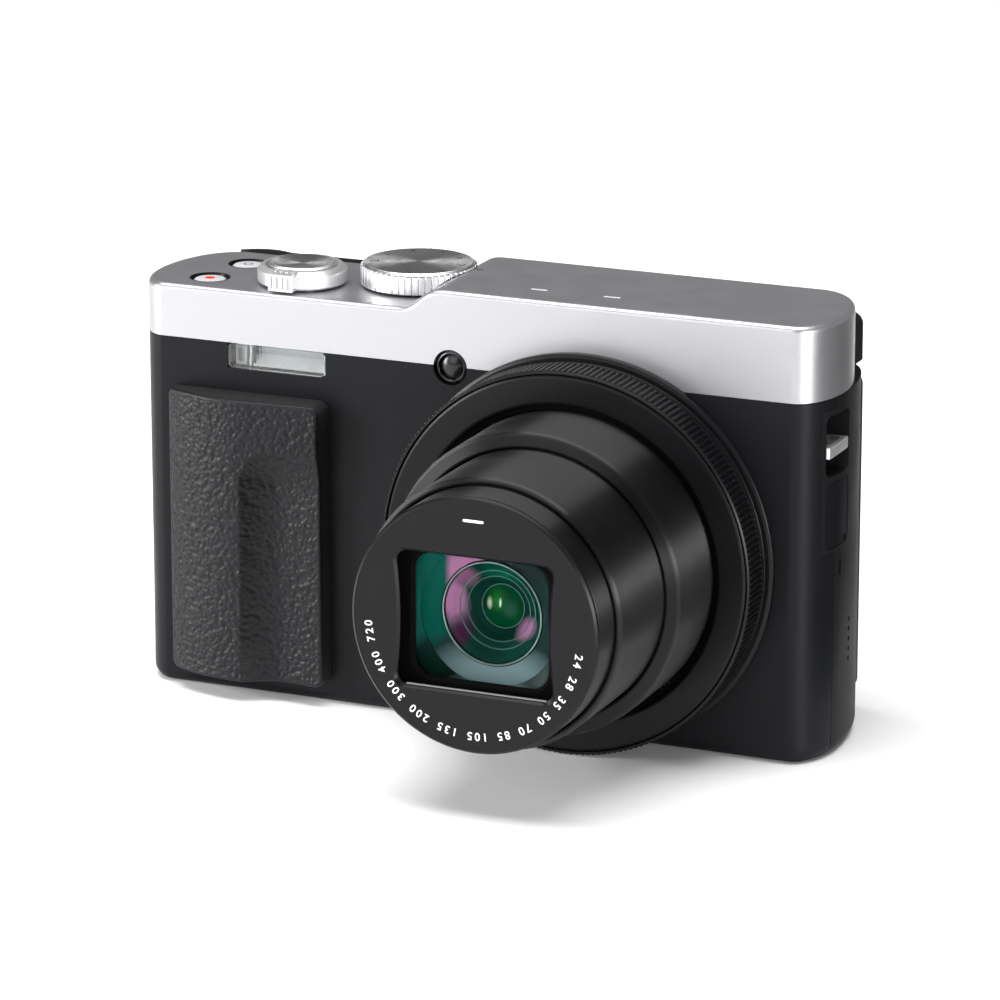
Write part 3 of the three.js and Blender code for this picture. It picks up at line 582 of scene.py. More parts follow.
# ---- body shells ----------------------------------------------------------------------------
def plan_outline(shrink, back_y=WALL_BACK_Y, corner=BODY_CORNER):
    """The body seen from above: flat front and back, each end a front and a back quarter ellipse."""
    flat_x, steps = 51, 26
    corner_x, corner_y = corner
    reach = HALF_WIDTH - shrink
    front_reach = WIDEST_Y - FRONT_Y - shrink
    back_reach = corner_y - WIDEST_Y - shrink
    side = []
    for k in range(steps + 1):
        t = math.radians(90 * k / steps)
        y = WIDEST_Y - front_reach * math.cos(t)
        side.append((flat_x + (reach - flat_x) * math.sin(t), y))
    for k in range(1, steps + 1):
        t = math.radians(90 * k / steps)
        y = WIDEST_Y + back_reach * math.sin(t)
        if y < back_y:
            side.append((corner_x + (reach - corner_x) * math.cos(t), y))
    last = math.sqrt(max(0, 1 - ((back_y - WIDEST_Y) / back_reach) ** 2)) if back_y < corner_y else 0
    side.append((corner_x + (reach - corner_x) * last, min(back_y, WIDEST_Y + back_reach)))
    return side + [(-x, y) for x, y in reversed(side)]


def lens_hole():
    return rod("y", LENS, 27.2, FRONT_Y - 8, WALL_BACK_Y - 4, 128)


def body_shell(name, material):
    outer = plate(name, "z", plan_outline(0), 0, FRONT.z1, material, low_round=2, steps=7)
    room = cutter("z", plan_outline(1.5, 10.5), 1.5, FRONT.z1 + 4)
    door = Box("battery_door")
    gap = 0.12
    doorway = rounded_rect(door.x0 - gap, door.x1 + gap, door.y0 - gap, door.y1 + gap, 1.5)
    return cut(outer, room, cutter("z", doorway, -3, 3))


def side_opening(z0, z1, x0=49.4):
    return cutter("x", rounded_rect(DOOR.y0 - 0.1, DOOR.y1 + 0.1, z0, z1, 1.2), x0, 62)


def front_shell():
    shell = body_shell("front_shell", BODY_BLACK)
    gap = 0.1
    cut(
        shell,
        block(-70, 70, SEAM_Y, 40, -5, 80),
        lens_hole(),
        block(FLASH.x0 - gap, FLASH.x1 + gap, FRONT_Y - 5, FRONT_Y + 4, FLASH.z0 - gap, 70),
        rod("y", (LAMP.cx, LAMP.cz), LAMP.rx + 0.15, FRONT_Y - 5, FRONT_Y + 4),
        block(48, 62, DOOR.y0 - 0.95, 0, DOOR.z0 - 0.95, STRAP_Z[1] + 0.95),
    )
    soften(shell, 0.12)
    return fit(shell, BODY, "body_black", "front_cover")


def rear_shell():
    shell = body_shell("rear_shell", PANEL_BLACK)
    cut(shell, block(-70, 70, -40, SEAM_Y + 0.1, -5, 80))
    outline = cutter("z", plan_outline(0), 0, FRONT.z1)
    frame_block = block(48.7, 62, DOOR.y0 - 0.9, DOOR.y1 + 0.9, DOOR.z0 - 0.9, STRAP_Z[1] + 0.9)
    join(shell, keep_inside(frame_block, outline))
    panel_x = 51.7
    panel_outline = rounded_rect(-panel_x, panel_x, 2.4, REAR.z1, 1.8, 10)
    panel = cutter("y", panel_outline, TOP.y1 + 0.15, REAR.y1, high_round=0.8, steps=6)
    cut(panel, block(-60, 60, 0, 11.45, -5, BAND_Z + 0.1))
    join(shell, panel)
    wells = [rod("y", (Box(n).cx, Box(n).cz), Box(n).rx + 0.12, 8, 30) for n in BACK_BUTTONS]
    cut(
        shell,
        block(MONITOR.x0 - 0.7, 70, MONITOR.y0 - 0.15, 40, -5, 55.2),
        block(MONITOR.x0 - 0.7, 70, 15.4, 40, 50, 70),
        block(-50.2, -27, 9, REAR.y1 - 1.5, 4.2, 60.8),
        side_opening(*STRAP_Z),
        side_opening(DOOR.z0 - 0.1, DOOR.z1 + 0.1, 50.6),
        block(47, 51, DOOR.y0 + 0.4, DOOR.y1 - 0.1, DOOR.z0 + 0.3, DOOR.z1 - 0.1),
        cutter("x", rounded_rect(-5.9, -4.9, 27.6, 30.2, 0.45), 55, 62),
        rod("z", (Box("tripod_socket").cx, 0), 4.7, -3, 3),
        rod("y", (REAR_DIAL.cx, REAR_DIAL.cz), 6.2, 8, 30),
        *wells,
        *[rod("x", (-0.7, 13.4 + 1.55 * k), 0.42, 50, 62, 24) for k in range(5)],
    )
    for screw in BASE_SCREWS:
        place = Box(screw)
        cut(shell, rod("z", (place.cx, place.cy), place.rx + 0.2, -2, 0.95, 32))
    soften(shell, 0.1)
    return fit(shell, BODY, "body_black", "rear_cover")


def deck_height(x):
    """Height of the top cover at x: low deck, ramp, high deck, eased at both bends."""
    foot, crest = RAMP_X
    slope = (TOP.z1 - DECK_Z) / (crest - foot)
    ease = 0.55

    def soft_step(t):
        return ease * math.log1p(math.exp(t / ease)) if t / ease < 30 else t

    return DECK_Z + slope * (soft_step(x - foot) - soft_step(x - crest))


def top_shell():
    outline = plan_outline(0, TOP.y1, TOP_CORNER)
    shell = plate("top_shell", "z", outline, TOP.z0, TOP.z1, SILVER, high_round=0.9, steps=7)
    work = bmesh.new()
    work.from_mesh(shell.data)
    foot, crest = RAMP_X
    for k in range(25):
        x = foot - 2.5 + (crest - foot + 5) * k / 24
        geometry = work.verts[:] + work.edges[:] + work.faces[:]
        bmesh.ops.bisect_plane(work, geom=geometry, plane_co=(x * MM, 0, 0), plane_no=(1, 0, 0), dist=1e-8)
    for vertex in work.verts:
        if vertex.co.z > (TOP.z0 + 1) * MM:
            vertex.co.z += (deck_height(vertex.co.x / MM) - TOP.z1) * MM
    work.to_mesh(shell.data)
    work.free()
    skin = 1.3
    room = plan_outline(skin, TOP.y1 - skin, TOP_CORNER)
    low_room = cutter("z", room, TOP.z0 - 2, DECK_Z - skin)
    high_room = cutter("z", room, TOP.z0 - 2, TOP.z1 - skin)
    cut(high_room, block(-80, -3.6, -40, 40, 0, 80))
    wells = []
    for node in DECK_BUTTONS:
        place = Box(node)
        wells.append(rod("z", (place.cx, place.cy), 3.15, DECK_Z - 0.7, 80))
        wells.append(rod("z", (place.cx, place.cy), 2.65, 60, 80))
    slots = [
        cutter("z", rounded_rect(x - 1.4, x + 1.4, -7.85, -7.15, 0.34, 4), 60, 80)
        for x in MICROPHONE_X
    ]
    cut(
        shell, low_room, high_room,
        rod("z", (DIAL.cx, DIAL.cy), DIAL.rx + 0.35, DECK_Z, 80, 128),
        rod("z", (DIAL.cx, DIAL.cy), 2.3, 60, 80),
        rod("z", (SHUTTER.cx, SHUTTER.cy), 3.9, 60, 80),
        rod("y", (LAMP.cx, LAMP.cz), LAMP.rx + 0.15, FRONT_Y - 5, FRONT_Y + 4),
        lens_hole(), *wells, *slots,
    )
    soften(shell, 0.12)
    return fit(shell, BODY, "silver_metal", "top_cover")


# ---- grip and thumb rest --------------------------------------------------------------------
def smoothstep(low, high, value):
    t = min(1, max(0, (value - low) / (high - low)))
    return t * t * (3 - 2 * t)


GRIP_RIDGE_X = GRIP.x0 + 13.9    # crest that the fingers wrap round
SCOOP_Z = GRIP.z1 - 7.6          # the scoop beside the crest ends under this brow


def grip_height(x, z):
    """How far the grip stands out: a rounded crest, with a scoop cut sharply into its inner side."""
    peak = FRONT_Y - GRIP.y0 - 0.12
    inner = x - GRIP_RIDGE_X
    width = GRIP.x1 - GRIP_RIDGE_X
    if inner <= 0:
        rise = math.sin(math.radians(90 * (x - GRIP.x0) / (GRIP_RIDGE_X - GRIP.x0))) ** 0.62
        return 0.75 + (peak - 0.75) * rise
    full = peak - (peak - 4.5) * inner / width
    corner = 5.5
    du, dv = inner, SCOOP_Z - z
    if dv <= 0:
        return full
    if du < corner and dv < corner:
        inside = corner - math.hypot(corner - du, corner - dv)
    else:
        inside = min(du, dv)
    floor = 2.8 + 0.6 * smoothstep(6, width, inner)
    share = 1 - (1 - min(1, max(0, inside) / 6.2)) ** 1.8
    return full + (floor - full) * share


def pebble(x, z):
    """Height of the leather's grain: small domes with creases between them."""
    drift = noise.noise(Vector((x * 0.9, z * 0.9, 9.0)))
    place = Vector((x * 1.15 + 0.6 * drift, z * 1.45 - 0.5 * drift, 0.5 * noise.noise(Vector((z, x, 2.0)))))
    near, nearer = noise.voronoi(place)[0][:2]
    return 1 - min(1, near / 0.85) ** 2 + 0.35 * smoothstep(0.0, 0.35, nearer - near) - 0.35


def grid_pad(name, columns, rows, point, back_y, material):
    """A height field whose vertices come from point(i, j), closed by walls and a flat back.
    Also returns the number of its first wall face."""
    vertices = [point(i, j) for j in range(rows + 1) for i in range(columns + 1)]
    step = columns + 1
    faces = []
    for j in range(rows):
        for i in range(columns):
            a = j * step + i
            faces.append((a, a + 1, a + step + 1, a + step))
    border = list(range(columns)) + [j * step + columns for j in range(rows)]
    border += [rows * step + i for i in range(columns, 0, -1)] + [j * step for j in range(rows, 0, -1)]
    back, count, walls = len(vertices), len(border), len(faces)
    vertices += [(vertices[k][0], back_y, vertices[k][2]) for k in border]
    faces += [(border[k], border[(k + 1) % count], back + (k + 1) % count, back + k) for k in range(count)]
    faces.append(tuple(back + k for k in range(count)))
    return mesh_piece(name, vertices, faces, material), walls


def front_grip():
    """The pad as a fine height field on a rounded outline, with a rolled rim and upright walls."""
    columns, rows = 156, 250
    width, height = GRIP.x1 - GRIP.x0, GRIP.z1 - GRIP.z0
    rim, corner, grain_depth = 0.7, 1.6, 0.17

    def crowded(t):
        """Even steps from 0 to 1, drawn a little closer together at both ends."""
        return 0.75 * t + 0.25 * (0.5 - 0.5 * math.cos(math.pi * t))

    def point(i, j):
        u, v = width * crowded(i / columns), height * crowded(j / rows)
        x, z = GRIP.x0 + u, GRIP.z0 + v
        du, dv = min(u, width - u), min(v, height - v)
        edge = min(du, dv)
        if du < corner and dv < corner:
            from_centre = math.hypot(corner - du, corner - dv)
            edge = max(0, corner - from_centre)
            if from_centre > corner:
                pull = corner / from_centre
                x += (1 if u < width / 2 else -1) * (corner - du) * (1 - pull)
                z += (1 if v < height / 2 else -1) * (corner - dv) * (1 - pull)
        roll = 1 - math.sqrt(max(0, 1 - (1 - min(1, edge / rim)) ** 2))
        depth = grip_height(x, z)
        depth -= min(0.55, depth * 0.5) * roll
        grain = grain_depth * (pebble(x, z) - 1) * smoothstep(0.1, 1.0, edge)
        return x, FRONT_Y - depth - grain, z

    pad, walls = grid_pad("grip_pad", columns, rows, point, FRONT_Y - 0.02, LEATHER)
    pad.data.materials.append(RUBBER)
    for polygon in pad.data.polygons[walls:]:
        polygon.material_index = 1
    return fit(pad, BODY, "leatherette", "front_grip", angle=60)


def thumb_rest():
    rest = Box("thumb_rest")
    columns, rows = 40, 60

    def point(i, j):
        u, v = i / columns, j / rows
        crown = math.sin(math.pi * u ** 0.9) * min(1, 0.25 + 3 * v, 1.6 - 0.6 * v)
        x = rest.x0 + (rest.x1 - rest.x0) * u
        z = rest.z0 + (rest.z1 - rest.z0) * v
        return x, rest.y0 + (rest.y1 - rest.y0) * max(0.04, crown), z

    pad = grid_pad("thumb_pad", columns, rows, point, rest.y0 - 0.02, RUBBER)[0]
    return fit(pad, BODY, "black_rubber", "thumb_rest", angle=50)


# ---- lens -----------------------------------------------------------------------------------
def base_ring():
    sleeve, bore, flange = 28.2, 26.8, FLANGE.rx
    back = FRONT_Y - 0.05
    ring = spun("lens_flange", "y", LENS, [
        (bore, FLANGE.y1), (bore + 0.3, FLANGE.y1), (bore + 0.3, back), (flange, back, 0.1),
        (flange, back - 0.9, 0.25), (flange - 0.55, back - 1.15, 0.1), (28.9, back - 1.15, 0.2),
        (28.7, -16.6), (sleeve, -16.6), (sleeve, FLANGE.y0, 0.1), (bore, FLANGE.y0, 0.1),
    ], RING_BLACK, 256)
    cut(ring, block(-80, 80, -60, 10, -20, FLANGE.z0))
    return fit(ring, BODY, "ring_black", "lens_base_ring")


def knurled_ring():
    """Fine square-topped teeth round the grip band of the control ring."""
    teeth, per_tooth = 208, 6
    radius = RING.rx
    depth = 0.34
    low, high = RING.y0 + 0.34, RING.y1 - 0.45

    def wave(angle, r, along):
        if r < radius - 0.75 or not low < along < high:
            return r
        phase = (angle * teeth / (2 * math.pi)) % 1
        tooth = smoothstep(0.10, 0.26, phase) - smoothstep(0.66, 0.82, phase)
        return r - depth * (1 - tooth)

    ring = spun("knurled_ring", "y", LENS, [
        (28.35, RING.y1), (radius - 0.12, RING.y1, 0.25), (radius - 0.12, high + 0.05),
        (radius, high - 0.02), (radius, low + 0.02), (radius - 0.12, low - 0.02),
        (radius - 0.16, RING.y0 + 0.2, 0.1), (radius - 0.4, RING.y0, 0.1), (28.95, RING.y0, 0.1),
        (28.95, RING.y0 + 0.8), (28.35, RING.y0 + 0.8),
    ], RING_BLACK, teeth * per_tooth, wave)
    return fit(ring, "control_ring", "ring_black", "control_ring", angle=40)


def bezel():
    inner = 24.4
    ring = spun("front_bezel_ring", "y", LENS, [
        (inner, BEZEL.y1), (inner, BEZEL.y0 + 0.42, 0.1), (inner + 0.35, BEZEL.y0 + 0.3, 0.15),
        (BEZEL.rx - 0.35, BEZEL.y0 + 0.02, 0.3), (BEZEL.rx, BEZEL.y0 + 0.22, 0.1), (BEZEL.rx, BEZEL.y1),
    ], RING_BLACK, 256)
    return fit(ring, BODY, "lens_black", "front_bezel")


def lens_tunnel():
    """The dark bore that the barrels slide in, with a felt light seal behind the bezel."""
    housing = Box("lens_housing")
    tunnel = spun("lens_tunnel", "y", LENS, [
        (25, housing.y1), (26.4, housing.y1), (26.4, housing.y0), (24.9, housing.y0),
        (23.35, housing.y0 + 0.3, 0.1), (23.35, housing.y0 + 1.1, 0.1), (25, housing.y0 + 1.3),
    ], DEEP_BLACK, 160)
    return fit(tunnel, BODY, "inner_plastic", "lens_housing")


def telescope(name, place, body, wall, lip, node):
    """One barrel: a tube with a bevelled front edge and a shallow step behind it."""
    radius = place.rx
    front, back = place.y0, place.y1
    tube = spun(name, "y", LENS, [
        (radius - wall, back), (radius, back), (radius, front + 0.55, 0.3),
        (radius - 0.22, front + 0.08, 0.12), (radius - 0.5, front, 0.1), (lip + 0.3, front, 0.1),
        (lip, front + 0.3, 0.1), (lip, front + 0.8), (radius - wall, front + 0.8),
    ], BARREL_BLACK, 224)
    return fit(tube, body, "lens_black", node)


def window_outline(grow=0.0):
    """The name ring's window: a rectangle whose upright sides bow gently inward."""
    half_w, half_h = (size / 2 + grow for size in WINDOW_SIZE)
    points = rounded_rect(-half_w, half_w, -half_h, half_h, 1.9, 8)
    full = []
    count = len(points)
    for i, (u, v) in enumerate(points):
        full.append((u, v))
        nu, nv = points[(i + 1) % count]
        if abs(nu - u) > 5 or abs(nv - v) > 5:
            full += [(u + (nu - u) * k / 16, v + (nv - v) * k / 16) for k in range(1, 16)]
    bow = 0.75
    bowed = []
    for u, v in full:
        pinch = bow * (1 - min(1, abs(v) / half_h) ** 2) if abs(u) > half_w * 0.6 else 0
        bowed.append((LENS_X + u - math.copysign(pinch, u), LENS_Z + v))
    return bowed


def name_plate():
    """Front ring with the window; the window's edge has a fine turned-in lip."""
    radius = NAME.rx
    disc = spun("name_plate", "y", LENS, [
        (0, NAME.y1), (radius, NAME.y1), (radius, NAME.y0 + 0.4, 0.2),
        (radius - 0.4, NAME.y0, 0.1), (radius - 0.7, NAME.y0 + 0.04, 0.1), (0, NAME.y0 + 0.04),
    ], RING_BLACK, 224)
    cut(disc, cutter("y", window_outline(), NAME.y0 - 3, NAME.y1 + 3))
    flare = [
        lifted("y", window_outline(0.45), NAME.y0 - 0.4),
        lifted("y", window_outline(0.45), NAME.y0 - 0.02),
        lifted("y", window_outline(0.0), NAME.y0 + 0.45),
        lifted("y", window_outline(0.0), NAME.y0 + 0.7),
    ]
    cut(disc, mesh_piece("cutter", *bridge(flare)))
    return fit(disc, "front_barrel", "ring_black", "name_ring")


def arc_text(name, text, axis, centre, radius, middle_angle, size, spacing, height, material):
    """Figures set round an axis line: the lens's, read from the front, or an upright one."""
    letters = []
    for i, letter in enumerate(text):
        if letter == " ":
            continue
        curve = bpy.data.curves.new("figure", "FONT")
        curve.body = letter
        curve.size = size * MM
        curve.extrude = 0.008 * MM
        curve.offset = 0.02 * MM
        curve.align_x = "CENTER"
        curve.align_y = "CENTER"
        holder = bpy.data.objects.new("figure", curve)
        bpy.context.scene.collection.objects.link(holder)
        turn = math.radians(middle_angle + spacing * (i - (len(text) - 1) / 2))
        u = centre[0] + radius * math.sin(turn)
        v = centre[1] + radius * math.cos(turn)
        if axis == "y":
            place = Vector((u, height, v)) * MM
            aim = Matrix.Rotation(turn, 4, "Y") @ Matrix.Rotation(math.radians(90), 4, "X")
        else:
            place = Vector((u, v, height)) * MM
            aim = Matrix.Rotation(-turn, 4, "Z")
        holder.matrix_world = Matrix.Translation(place) @ aim
        bpy.context.view_layer.update()
        depsgraph = bpy.context.evaluated_depsgraph_get()
        mesh = bpy.data.meshes.new_from_object(holder.evaluated_get(depsgraph))
        mesh.transform(holder.matrix_world)
        bpy.data.objects.remove(holder)
        mesh.materials.clear()
        letters.append(new_object("figure", mesh, material))
    return merged(name, letters)


def name_plate_marks():
    """Plain focal-length figures along the lower rim and an index line at the top."""
    figures = arc_text("focal_figures", "24 28 35 50 70 85 105 135 200 300 400 720", "y", LENS, 16.4, 182,
                       1.7, 4.15, NAME.y0 + 0.03, PAINT_MARK)
    attach(figures, "front_barrel")
    dash = rounded_rect(LENS_X - 1.6, LENS_X + 1.6, LENS_Z + 15.4, LENS_Z + 15.8, 0.19, 4)
    index = plate("index_line", "y", dash, NAME.y0 + 0.022, NAME.y0 + 0.1, PAINT_MARK)
    attach(index, "front_barrel")


def build_lens():
    base_ring()
    knurled_ring()
    bezel()
    lens_tunnel()
    telescope("outer_tube", OUTER, "outer_barrel", 0.8, 20.75, "outer_barrel")
    telescope("middle_tube", MIDDLE, "middle_barrel", 0.85, 19.4, "middle_barrel")
    nose = spun("front_tube", "y", LENS, [
        (17.9, NOSE.y1), (NOSE.rx, NOSE.y1), (NOSE.rx, NOSE.y0, 0.08), (18.6, NOSE.y0),
        (18.6, CELL.y0 - 0.05), (17.9, CELL.y0 - 0.05),
    ], BARREL_BLACK, 224)
    fit(nose, "front_barrel", "lens_black", "front_barrel")
    name_plate()
    name_plate_marks()


# ---- optics behind the window ---------------------------------------------------------------
def dome(vertex_y, depth, reach, steps=9):
    """Profile points of a curved lens face, from the axis outward."""
    return [(reach * k / steps, vertex_y + depth * (k / steps) ** 2) for k in range(steps + 1)]


def lens_space(made):
    """Position from the lens axis in millimetres, for painting the coatings' colours, painted reflections and
    painted shade on the glass.
    """
    shift = made.node("ShaderNodeVectorMath", operation="SUBTRACT")
    shift.inputs[1].default_value = (LENS_X * MM, 0, LENS_Z * MM)
    made.link(made.space, shift.inputs[0])
    scale = made.node("ShaderNodeVectorMath", operation="SCALE")
    scale.inputs["Scale"].default_value = 1 / MM
    made.link(shift.outputs["Vector"], scale.inputs[0])
    return scale.outputs["Vector"]


def painted_light_patch(made, place, under, color, centre, size, soft, turn=0):
    """Lays a soft-edged elliptical patch of painted reflection, painted highlight or painted shade over what
    is under it.
    """
    local = made.node("ShaderNodeMapping", vector_type="TEXTURE")
    local.inputs["Location"].default_value = (centre[0], 0, centre[1])
    local.inputs["Rotation"].default_value = (0, math.radians(turn), 0)
    local.inputs["Scale"].default_value = (size[0], 1e6, size[1])
    made.link(place, local.inputs["Vector"])
    length = made.node("ShaderNodeVectorMath", operation="LENGTH")
    made.link(local.outputs["Vector"], length.inputs[0])
    share = made.ramp(length.outputs["Value"], 1, 0, 1 - soft, 1)
    blend = made.node("ShaderNodeMix", data_type="RGBA")
    made.link(share, blend.inputs["Factor"])
    made.link(under, blend.inputs["A"])
    blend.inputs["B"].default_value = (*color, 1)
    return blend.outputs["Result"]


def coating_and_painted_light(name, base, patches, roughness=0.2, specular=0.03):
    """Glass with several coatings: the coating's own base colour, with soft patches of painted reflection,
    painted highlight and painted shade laid over it.
    """
    made = Shader(name, base, roughness, Specular_IOR_Level=specular)
    place = lens_space(made)
    start = made.node("ShaderNodeMix", data_type="RGBA")
    start.inputs["A"].default_value = (*scaled_color(base, 0.9), 1)
    start.inputs["B"].default_value = (*scaled_color(base, 1.1), 1)
    made.link(made.grain(150, 2), start.inputs["Factor"])
    color = start.outputs["Result"]
    for patch in patches:
        color = painted_light_patch(made, place, color, *patch)
    made.link(color, made.surface.inputs["Base Color"])
    made.bump(made.grain(700, 1), 0.002)
    return made.material


# Colours laid on the coatings where light shows in the glass: teal, lilac and mist are painted reflections,
# deep green is painted shade.
TEAL_REFLECTION = (0.0, 0.066, 0.050)
DEEP_GREEN_SHADE = (0.0, 0.012, 0.008)
LILAC_REFLECTION = (0.36, 0.15, 0.29)
MIST_REFLECTION = (0.17, 0.25, 0.27)
# Patches of painted reflection and painted shade over each coating's own colour: colour, centre and half
# sizes in millimetres from the lens axis, softness, turn.
HOLDER_COATING_AND_PAINTED_LIGHT = coating_and_painted_light("holder_coating_and_painted_light", (0.004, 0.018, 0.017), [
    (TEAL_REFLECTION, (-12.5, 4.5), (6.4, 11.0), 0.2),
    (DEEP_GREEN_SHADE, (-9.5, -9.5), (4.6, 4.6), 0.5),
    (MIST_REFLECTION, (0.5, -11.6), (8.5, 3.2), 0.6),
], 0.35, 0.05)
OUTER_COATING_AND_PAINTED_LIGHT = coating_and_painted_light("outer_coating_and_painted_light", (0.006, 0.022, 0.021), [
    (MIST_REFLECTION, (1.0, -9.4), (12.0, 6.0), 0.6),
    (TEAL_REFLECTION, (-10.6, 3.4), (7.2, 9.8), 0.2),
    (LILAC_REFLECTION, (-4.1, 5.8), (3.2, 9.0), 0.3, 4),
    # painted shade at the upper right
    ((0.008, 0.02, 0.02), (3.4, 8.6), (5.6, 5.0), 0.5),
])
INNER_COATING_AND_PAINTED_LIGHT = coating_and_painted_light("inner_coating_and_painted_light", (0.002, 0.036, 0.027), [
    (LILAC_REFLECTION, (-6.9, 2.6), (2.1, 6.6), 0.45, -12),
    # a pink painted reflection beside the lilac crescent
    ((0.20, 0.085, 0.16), (-4.9, 5.0), (2.4, 2.6), 0.6),
    # painted shade at the lower left
    ((0.05, 0.010, 0.04), (-5.4, -3.6), (2.0, 3.0), 0.8),
    (LILAC_REFLECTION, (4.3, -2.5), (2.8, 1.6), 0.6, -38),
    # a green painted reflection at the top
    ((0.0, 0.09, 0.05), (1.0, 5.6), (4.0, 2.2), 0.8),
])
CORE_COATING_AND_PAINTED_LIGHT = coating_and_painted_light("core_coating_and_painted_light", (0.0, 0.050, 0.018), [
    # painted reflections: a bright green patch and a teal patch
    ((0.01, 0.17, 0.02), (-0.6, 1.0), (1.8, 2.0), 0.9),
    ((0.02, 0.09, 0.05), (1.4, -0.2), (1.5, 1.8), 0.9),
    # painted highlights: a cream glint and a white glint
    ((0.55, 0.60, 0.42), (-1.9, 0.4), (0.6, 1.1), 0.8),
    ((0.75, 0.85, 0.8), (-0.1, 0.7), (0.25, 0.8), 0.6),
], 0.2)


def bead(name, radius, y, width, material):
    """A thin ring at the edge of an inner element."""
    ring = spun(name, "y", LENS, [
        (radius - width / 2, y + 0.3), (radius + width / 2, y + 0.3),
        (radius + width / 2, y, width / 3), (radius - width / 2, y, width / 3),
    ], material, 144, arc=3)
    smooth(ring)
    return attach(ring, "front_barrel")


def front_optics():
    """Baffle, clear front element, and the cone of inner elements seen through it, whose colours carry
    painted reflections and painted shade.
    """
    front, back = CELL.y0, CELL.y1
    baffle = spun("front_baffle", "y", LENS, [
        (0, front), (17.8, front, 0.2), (17.8, back), (15.2, back), (15.2, front + 0.7),
        (0, front + 0.7),
    ], DEEP_BLACK, 160)
    half_w, half_h = 10.4, 9.2
    opening = [
        lifted("y", rounded_rect(LENS_X - half_w - grow, LENS_X + half_w + grow, LENS_Z - half_h - grow,
                                 LENS_Z + half_h + grow, 2.6 + grow), front + along)
        for grow, along in ((0.5, -0.3), (0.5, 0.0), (0.0, 0.5), (0.0, 1.2))
    ]
    cut(baffle, mesh_piece("cutter", *bridge(opening)))
    fit(baffle, "front_barrel", "lens_black", "front_lens_cell")

    clear_glass = spun("front_glass", "y", LENS,
                       dome(-53.1, 1.9, 15) + dome(-52.5, 1.9, 15)[::-1], FRONT_GLASS, 128)
    fit(clear_glass, "front_barrel", "coated_glass", "front_element", weighted=False)

    seat = -44.3  # where the fixed elements end at the back
    cone = spun("element_holder", "y", LENS, [
        (15.1, seat), (15.1, -51.1, 0.2), (12.9, -51.4, 0.1), (12.6, -50.9, 0.1), (10.85, -49.9, 0.2),
        (10.85, -48.6), (8, -48.4), (8, seat),
    ], HOLDER_COATING_AND_PAINTED_LIGHT, 144)
    fit(cone, "front_barrel", "lens_black")
    outer = spun("second_element", "y", LENS, [
        (10.84, -49.75, 0.1), (9.4, -49.35, 0.3), (7.95, -49.05), (7.95, -48.45), (10.84, -48.65),
    ], OUTER_COATING_AND_PAINTED_LIGHT, 144)
    fit(outer, "front_barrel", "coated_glass")
    funnel = spun("third_element", "y", LENS, [
        (7.5, -48.6), (7.4, -48.75, 0.1), (6.6, -47.9, 0.3), (5.95, -47.0), (5.8, -46.9),
        (4.95, -46.5), (4.8, -46.3, 0.1), (4.1, -45.4, 0.3), (3.35, -44.9), (3.2, -44.6),
        (3.2, seat), (7.5, seat),
    ], INNER_COATING_AND_PAINTED_LIGHT, 144)
    fit(funnel, "front_barrel", "coated_glass")
    core = spun("iris_element", "y", LENS, dome(-45.9, 1.0, 3.25, 8) + [(3.25, -44.4), (0, -44.4)],
                CORE_COATING_AND_PAINTED_LIGHT, 96)
    fit(core, "front_barrel", "coated_glass")
    bead("element_rim", 7.66, -49.2, 0.18, RIM_METAL)
    foot = rounded_rect(LENS_X - 10.6, LENS_X + 11.2, LENS_Z - 9.95, LENS_Z - 9.72, 0.1, 3)
    strip = plate("window_foot", "y", foot, NAME.y0 + 0.34, NAME.y0 + 0.6, DULL_STEEL)
    fit(strip, "front_barrel", "ring_black")
    bead("inner_rim", 5.9, -47.15, 0.12, EDGE_LINE)
    bead("middle_rim", 4.9, -46.65, 0.10, EDGE_LINE)
    bead("iris_rim", 3.3, -45.05, 0.12, EDGE_LINE)


def barrier_blade(node, body, sign, edge, bite):
    """A leaf of the lens cover, with a rolled meeting edge and a stiffening groove."""
    place = Box(node)
    leaf = rod("y", LENS, 18.35, place.y0, place.y1, 160)
    low = LENS_Z + edge if sign > 0 else LENS_Z - 40
    high = LENS_Z + 40 if sign > 0 else LENS_Z - edge
    keep_inside(leaf, block(-20, 60, -60, -50, low, high))
    if bite:
        cut(leaf, cutter("y", window_outline(0.15), -60, -50))
    groove_z = LENS_Z + sign * (edge + 5.2)
    cut(leaf, block(LENS_X - 9, LENS_X + 9, place.y0 - 1, place.y0 + 0.08, groove_z - 0.15, groove_z + 0.15))
    leaf.name = node + "_leaf"
    leaf.data.materials.clear()
    leaf.data.materials.append(RING_BLACK)
    soften(leaf, 0.05)
    return fit(leaf, body, "ring_black", node)


def barrier():
    for word, sign in (("upper", 1), ("lower", -1)):
        barrier_blade(f"barrier_blade_{word}_outer", f"blade_{word}_outer", sign, 8.2, True)
        barrier_blade(f"barrier_blade_{word}_inner", f"blade_{word}_inner", sign, 10.2, False)


